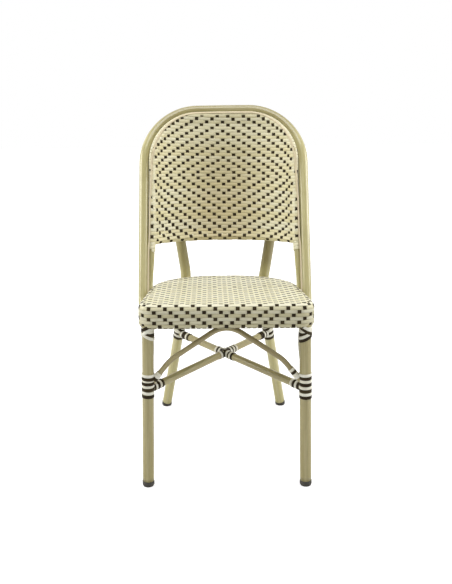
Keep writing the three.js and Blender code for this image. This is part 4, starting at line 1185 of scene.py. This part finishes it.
def binding(joint, sideName, origin, axis, radius, facing, bound=""):
    axis = unit(axis)
    facing = np.asarray(facing, float)
    facing = unit(facing - axis * (facing @ axis))
    beside = np.cross(axis, facing)
    angle = circle(wrapSizes["steps"])
    out = facing * np.cos(angle) + beside * np.sin(angle)

    def placeTurn(distance, lean, layer):
        height = distance + lean * (radius + layer) * np.sin(angle)
        return origin + axis * height + out * (radius + layer), out, 0

    addTurns(f"{joint}_wrap_{sideName}", wrapTurns[f"{joint}_{sideName}"], f"{bound or joint}_binding_{sideName}",
             placeTurn)


def crossingKnot():  # strands laid over the crossing from crotch to crotch
    arms = [unit(stretcherEnds(side)[0] - meeting) for side in (-1, 1)]
    up = np.array([0, 0, 1])
    angle = circle(wrapSizes["knotSteps"])

    def placeTurn(distance, way, layer):
        along, beside = unit(arms[0] + arms[1]), unit(arms[1] - arms[0])
        spread = np.linalg.norm(arms[1] - arms[0]) / 2
        if way == "side":
            along, beside = beside, -along
            spread = math.sqrt(1 - spread ** 2)
        reach = brace["stretcherRadius"] / spread + layer
        height = brace["stretcherRadius"] + layer
        path = meeting + along * np.cos(angle) * reach + up * np.sin(angle) * height + beside * distance
        return path, unit(along * np.cos(angle) / reach + up * np.sin(angle) / height), 0

    addTurns("knot_wrap", wrapTurns["knot"], "", placeTurn)


def addBindings():
    front, upFront = (0, -1, 0), (0, -1, 1)
    radius = brace["stretcherRadius"]
    for side, sideName in ((-1, "left"), (1, "right")):
        legTop = frontLegAt(side, brace["stretcherFront"] + wrapSizes["legRise"])
        legDown = frontLegAt(side, 0) - legTop
        binding("leg", sideName, legTop, legDown, legs["radius"], front)
        cornerTop = frontLegAt(side, seatTop(0) - seat["apron"] - wrapSizes["cornerGap"])
        binding("corner", sideName, cornerTop, legDown, legs["radius"], front)
        rearTop = rearLegAt(side, brace["stretcherRear"] + wrapSizes["rearRise"])
        binding("rear", sideName, rearTop, rearLegAt(side, 0) - rearTop, legs["radius"], front)
        near, far = stretcherEnds(side)
        binding("stretcher", sideName, near, far - near, radius, upFront)
        near, far = stretcherEnds(-side)
        binding("tail", sideName, far, near - far, radius, upFront, "stretcher_tail")
        knee, foot = [point * [side, 1, 1] for point in archCorners()[-2:]]
        binding("arch", sideName, foot, knee - foot, brace["archRadius"], front)
        for armName, armEnd in (("rear", rearLegAt(side, brace["stretcherRear"])),
                                ("front", stretcherEnds(side)[0])):
            binding("cross", f"{armName}_{sideName}", meeting, armEnd - meeting, radius, upFront)
    crossingKnot()


addBindings()
print("joints bound")


# Finishes of the pieces that keep their first shape


plainLook = {"cloudShare": 0.12, "light": (0.4, 0.7), "specks": (0.52, 0.8, 0.5), "uneven": 0.2, "relief": 0.0001}


def plainPaint(name, tones, roughness, scale):
    def build(tree):
        base, light, dark = [colour(*levels) for levels in tones]
        place = addNode(tree, "ShaderNodeTexCoord", None, None, "Object")
        cloud = noise(tree, place, scale * plainLook["cloudShare"], 3)
        fine = noise(tree, place, scale, 3, 0.6)
        tone = blend(tree, ramp(tree, cloud, *plainLook["light"]), base, light)
        tone = shaded(tree, fine, plainLook["specks"], tone, dark)
        rough = roughness + (fine - 0.5) * plainLook["uneven"]
        return {"Base Color": tone, "Roughness": rough}, fine, plainLook["relief"]
    return finish(name, build)


railPaint = plainPaint("rail paint", ((170, 162, 114), (190, 182, 140), (146, 137, 90)), 0.38, 400)
barFinish = plainPaint("bar paint", ((166, 158, 112), (184, 176, 134), (140, 131, 88)), 0.42, 300)
glidePlastic = plainPaint("glide plastic", ((58, 55, 48), (76, 72, 64), (36, 34, 30)), 0.55, 500)
for nodeName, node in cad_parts.items():
    if node.hide_render:
        continue
    look = glidePlastic if nodeName.startswith("glide") else railPaint if nodeName == "back_rail" else barFinish
    node.data.materials.clear()
    node.data.materials.append(look)

# Floor, light and camera

studio = {
    "worldFront": 0.28, "worldBack": 1, "worldTurn": (-0.3, 0.5), "floorHalf": 8, "floorGrey": 0.7,
    "floorGrain": 1.02, "grainScale": 3, "floorGlow": (0.6, 0.9), "glowFrom": (1, 2.6), "aim": (0, 0, 0.5),
    "sensor": 36,
    "cameraPlace": (-36.4, -1813.3, 1014.2), "lens": 50, "pan": 1.073, "pitch": 74.151, "roll": -0.815,
    "shift": 0.0514,
    "lamps": {"left softbox": ((-2.1, -0.25, 1.4), 30, 1.4), "right softbox": ((2.1, -0.25, 1.4), 30, 1.4),
              "top softbox": ((0, -0.5, 3.0), 36, 1.8), "front fill": ((-0.4, -3.2, 1.2), 7, 2.0)},
}


def seenDirectly(tree):  # camera and transmission rays see the background white
    rays = addNode(tree, "ShaderNodeLightPath")
    return rays.at("Is Camera Ray").maths("MAXIMUM", rays.at("Is Camera Ray"), rays.at("Is Transmission Ray"))


world = bpy.data.worlds.new("studio")
bpy.context.scene.world = world
worldTree = emptyTree(world)
heading = addNode(worldTree, "ShaderNodeTexCoord", None, None, "Generated")
backward = addNode(worldTree, "ShaderNodeSeparateXYZ", None, {0: heading}, output=1)
level = ramp(worldTree, backward, *studio["worldTurn"]) * (studio["worldBack"] - studio["worldFront"])
level = level + studio["worldFront"]
level = level.maths("MAXIMUM", level, seenDirectly(worldTree))
sky = addNode(worldTree, "ShaderNodeBackground", None, {"Color": level})
addNode(worldTree, "ShaderNodeOutputWorld", None, {"Surface": sky})

floorMaterial = bpy.data.materials.new("floor")
floorTree = emptyTree(floorMaterial)
floorPlace = addNode(floorTree, "ShaderNodeTexCoord", None, None, "Object")
grain = noise(floorTree, floorPlace, studio["grainScale"])
grey = studio["floorGrey"]
lightGrey = grey * studio["floorGrain"]
tint = blend(floorTree, grain, (grey, grey, grey, 1), (lightGrey, lightGrey, lightGrey, 1))
matt = addNode(floorTree, "ShaderNodeBsdfDiffuse", None, {"Color": tint})
away = addNode(floorTree, "ShaderNodeVectorMath", {"operation": "LENGTH"}, {0: floorPlace}, output=1)
lowGlow, highGlow = studio["floorGlow"]
glowing = ramp(floorTree, away, *studio["glowFrom"]) * (highGlow - lowGlow) + lowGlow
glow = addNode(floorTree, "ShaderNodeEmission", None, {"Color": glowing * seenDirectly(floorTree)})
both = addNode(floorTree, "ShaderNodeAddShader", None, {0: matt, 1: glow})
addNode(floorTree, "ShaderNodeOutputMaterial", None, {"Surface": both})
floorMesh = bpy.data.meshes.new("floor")
wide = studio["floorHalf"]
floorMesh.from_pydata([(-wide, -wide, 0), (wide, -wide, 0), (wide, wide, 0), (-wide, wide, 0)], [], [(0, 1, 2, 3)])
floorMesh.materials.append(floorMaterial)
floor = bpy.data.objects.new("floor", floorMesh)
bpy.context.scene.collection.objects.link(floor)


def areaLight(name, place, target, power, size):
    light = bpy.data.lights.new(name, "AREA")
    light.shape = "DISK"
    light.size = size
    light.energy = power
    lamp = bpy.data.objects.new(name, light)
    direction = Vector(target) - Vector(place)
    lamp.rotation_euler = direction.to_track_quat("-Z", "Y").to_euler()
    lamp.location = place
    bpy.context.scene.collection.objects.link(lamp)


for lampName, (place, power, size) in studio["lamps"].items():
    areaLight(lampName, place, studio["aim"], power, size)

cameraData = bpy.data.cameras.new("camera")
cameraData.lens = studio["lens"]
cameraData.sensor_width = studio["sensor"]
cameraData.shift_x = studio["shift"]
camera = bpy.data.objects.new("camera", cameraData)
turned = Matrix()
for angleName, axisName in (("pan", "Z"), ("pitch", "X"), ("roll", "Z")):
    turned = turned @ Matrix.Rotation(math.radians(studio[angleName]), 4, axisName)
camera.matrix_world = Matrix.Translation(toMetres(studio["cameraPlace"])) @ turned
bpy.context.scene.collection.objects.link(camera)
bpy.context.scene.camera = camera
bpy.context.scene.view_settings.view_transform = "Standard"
print("stage set")
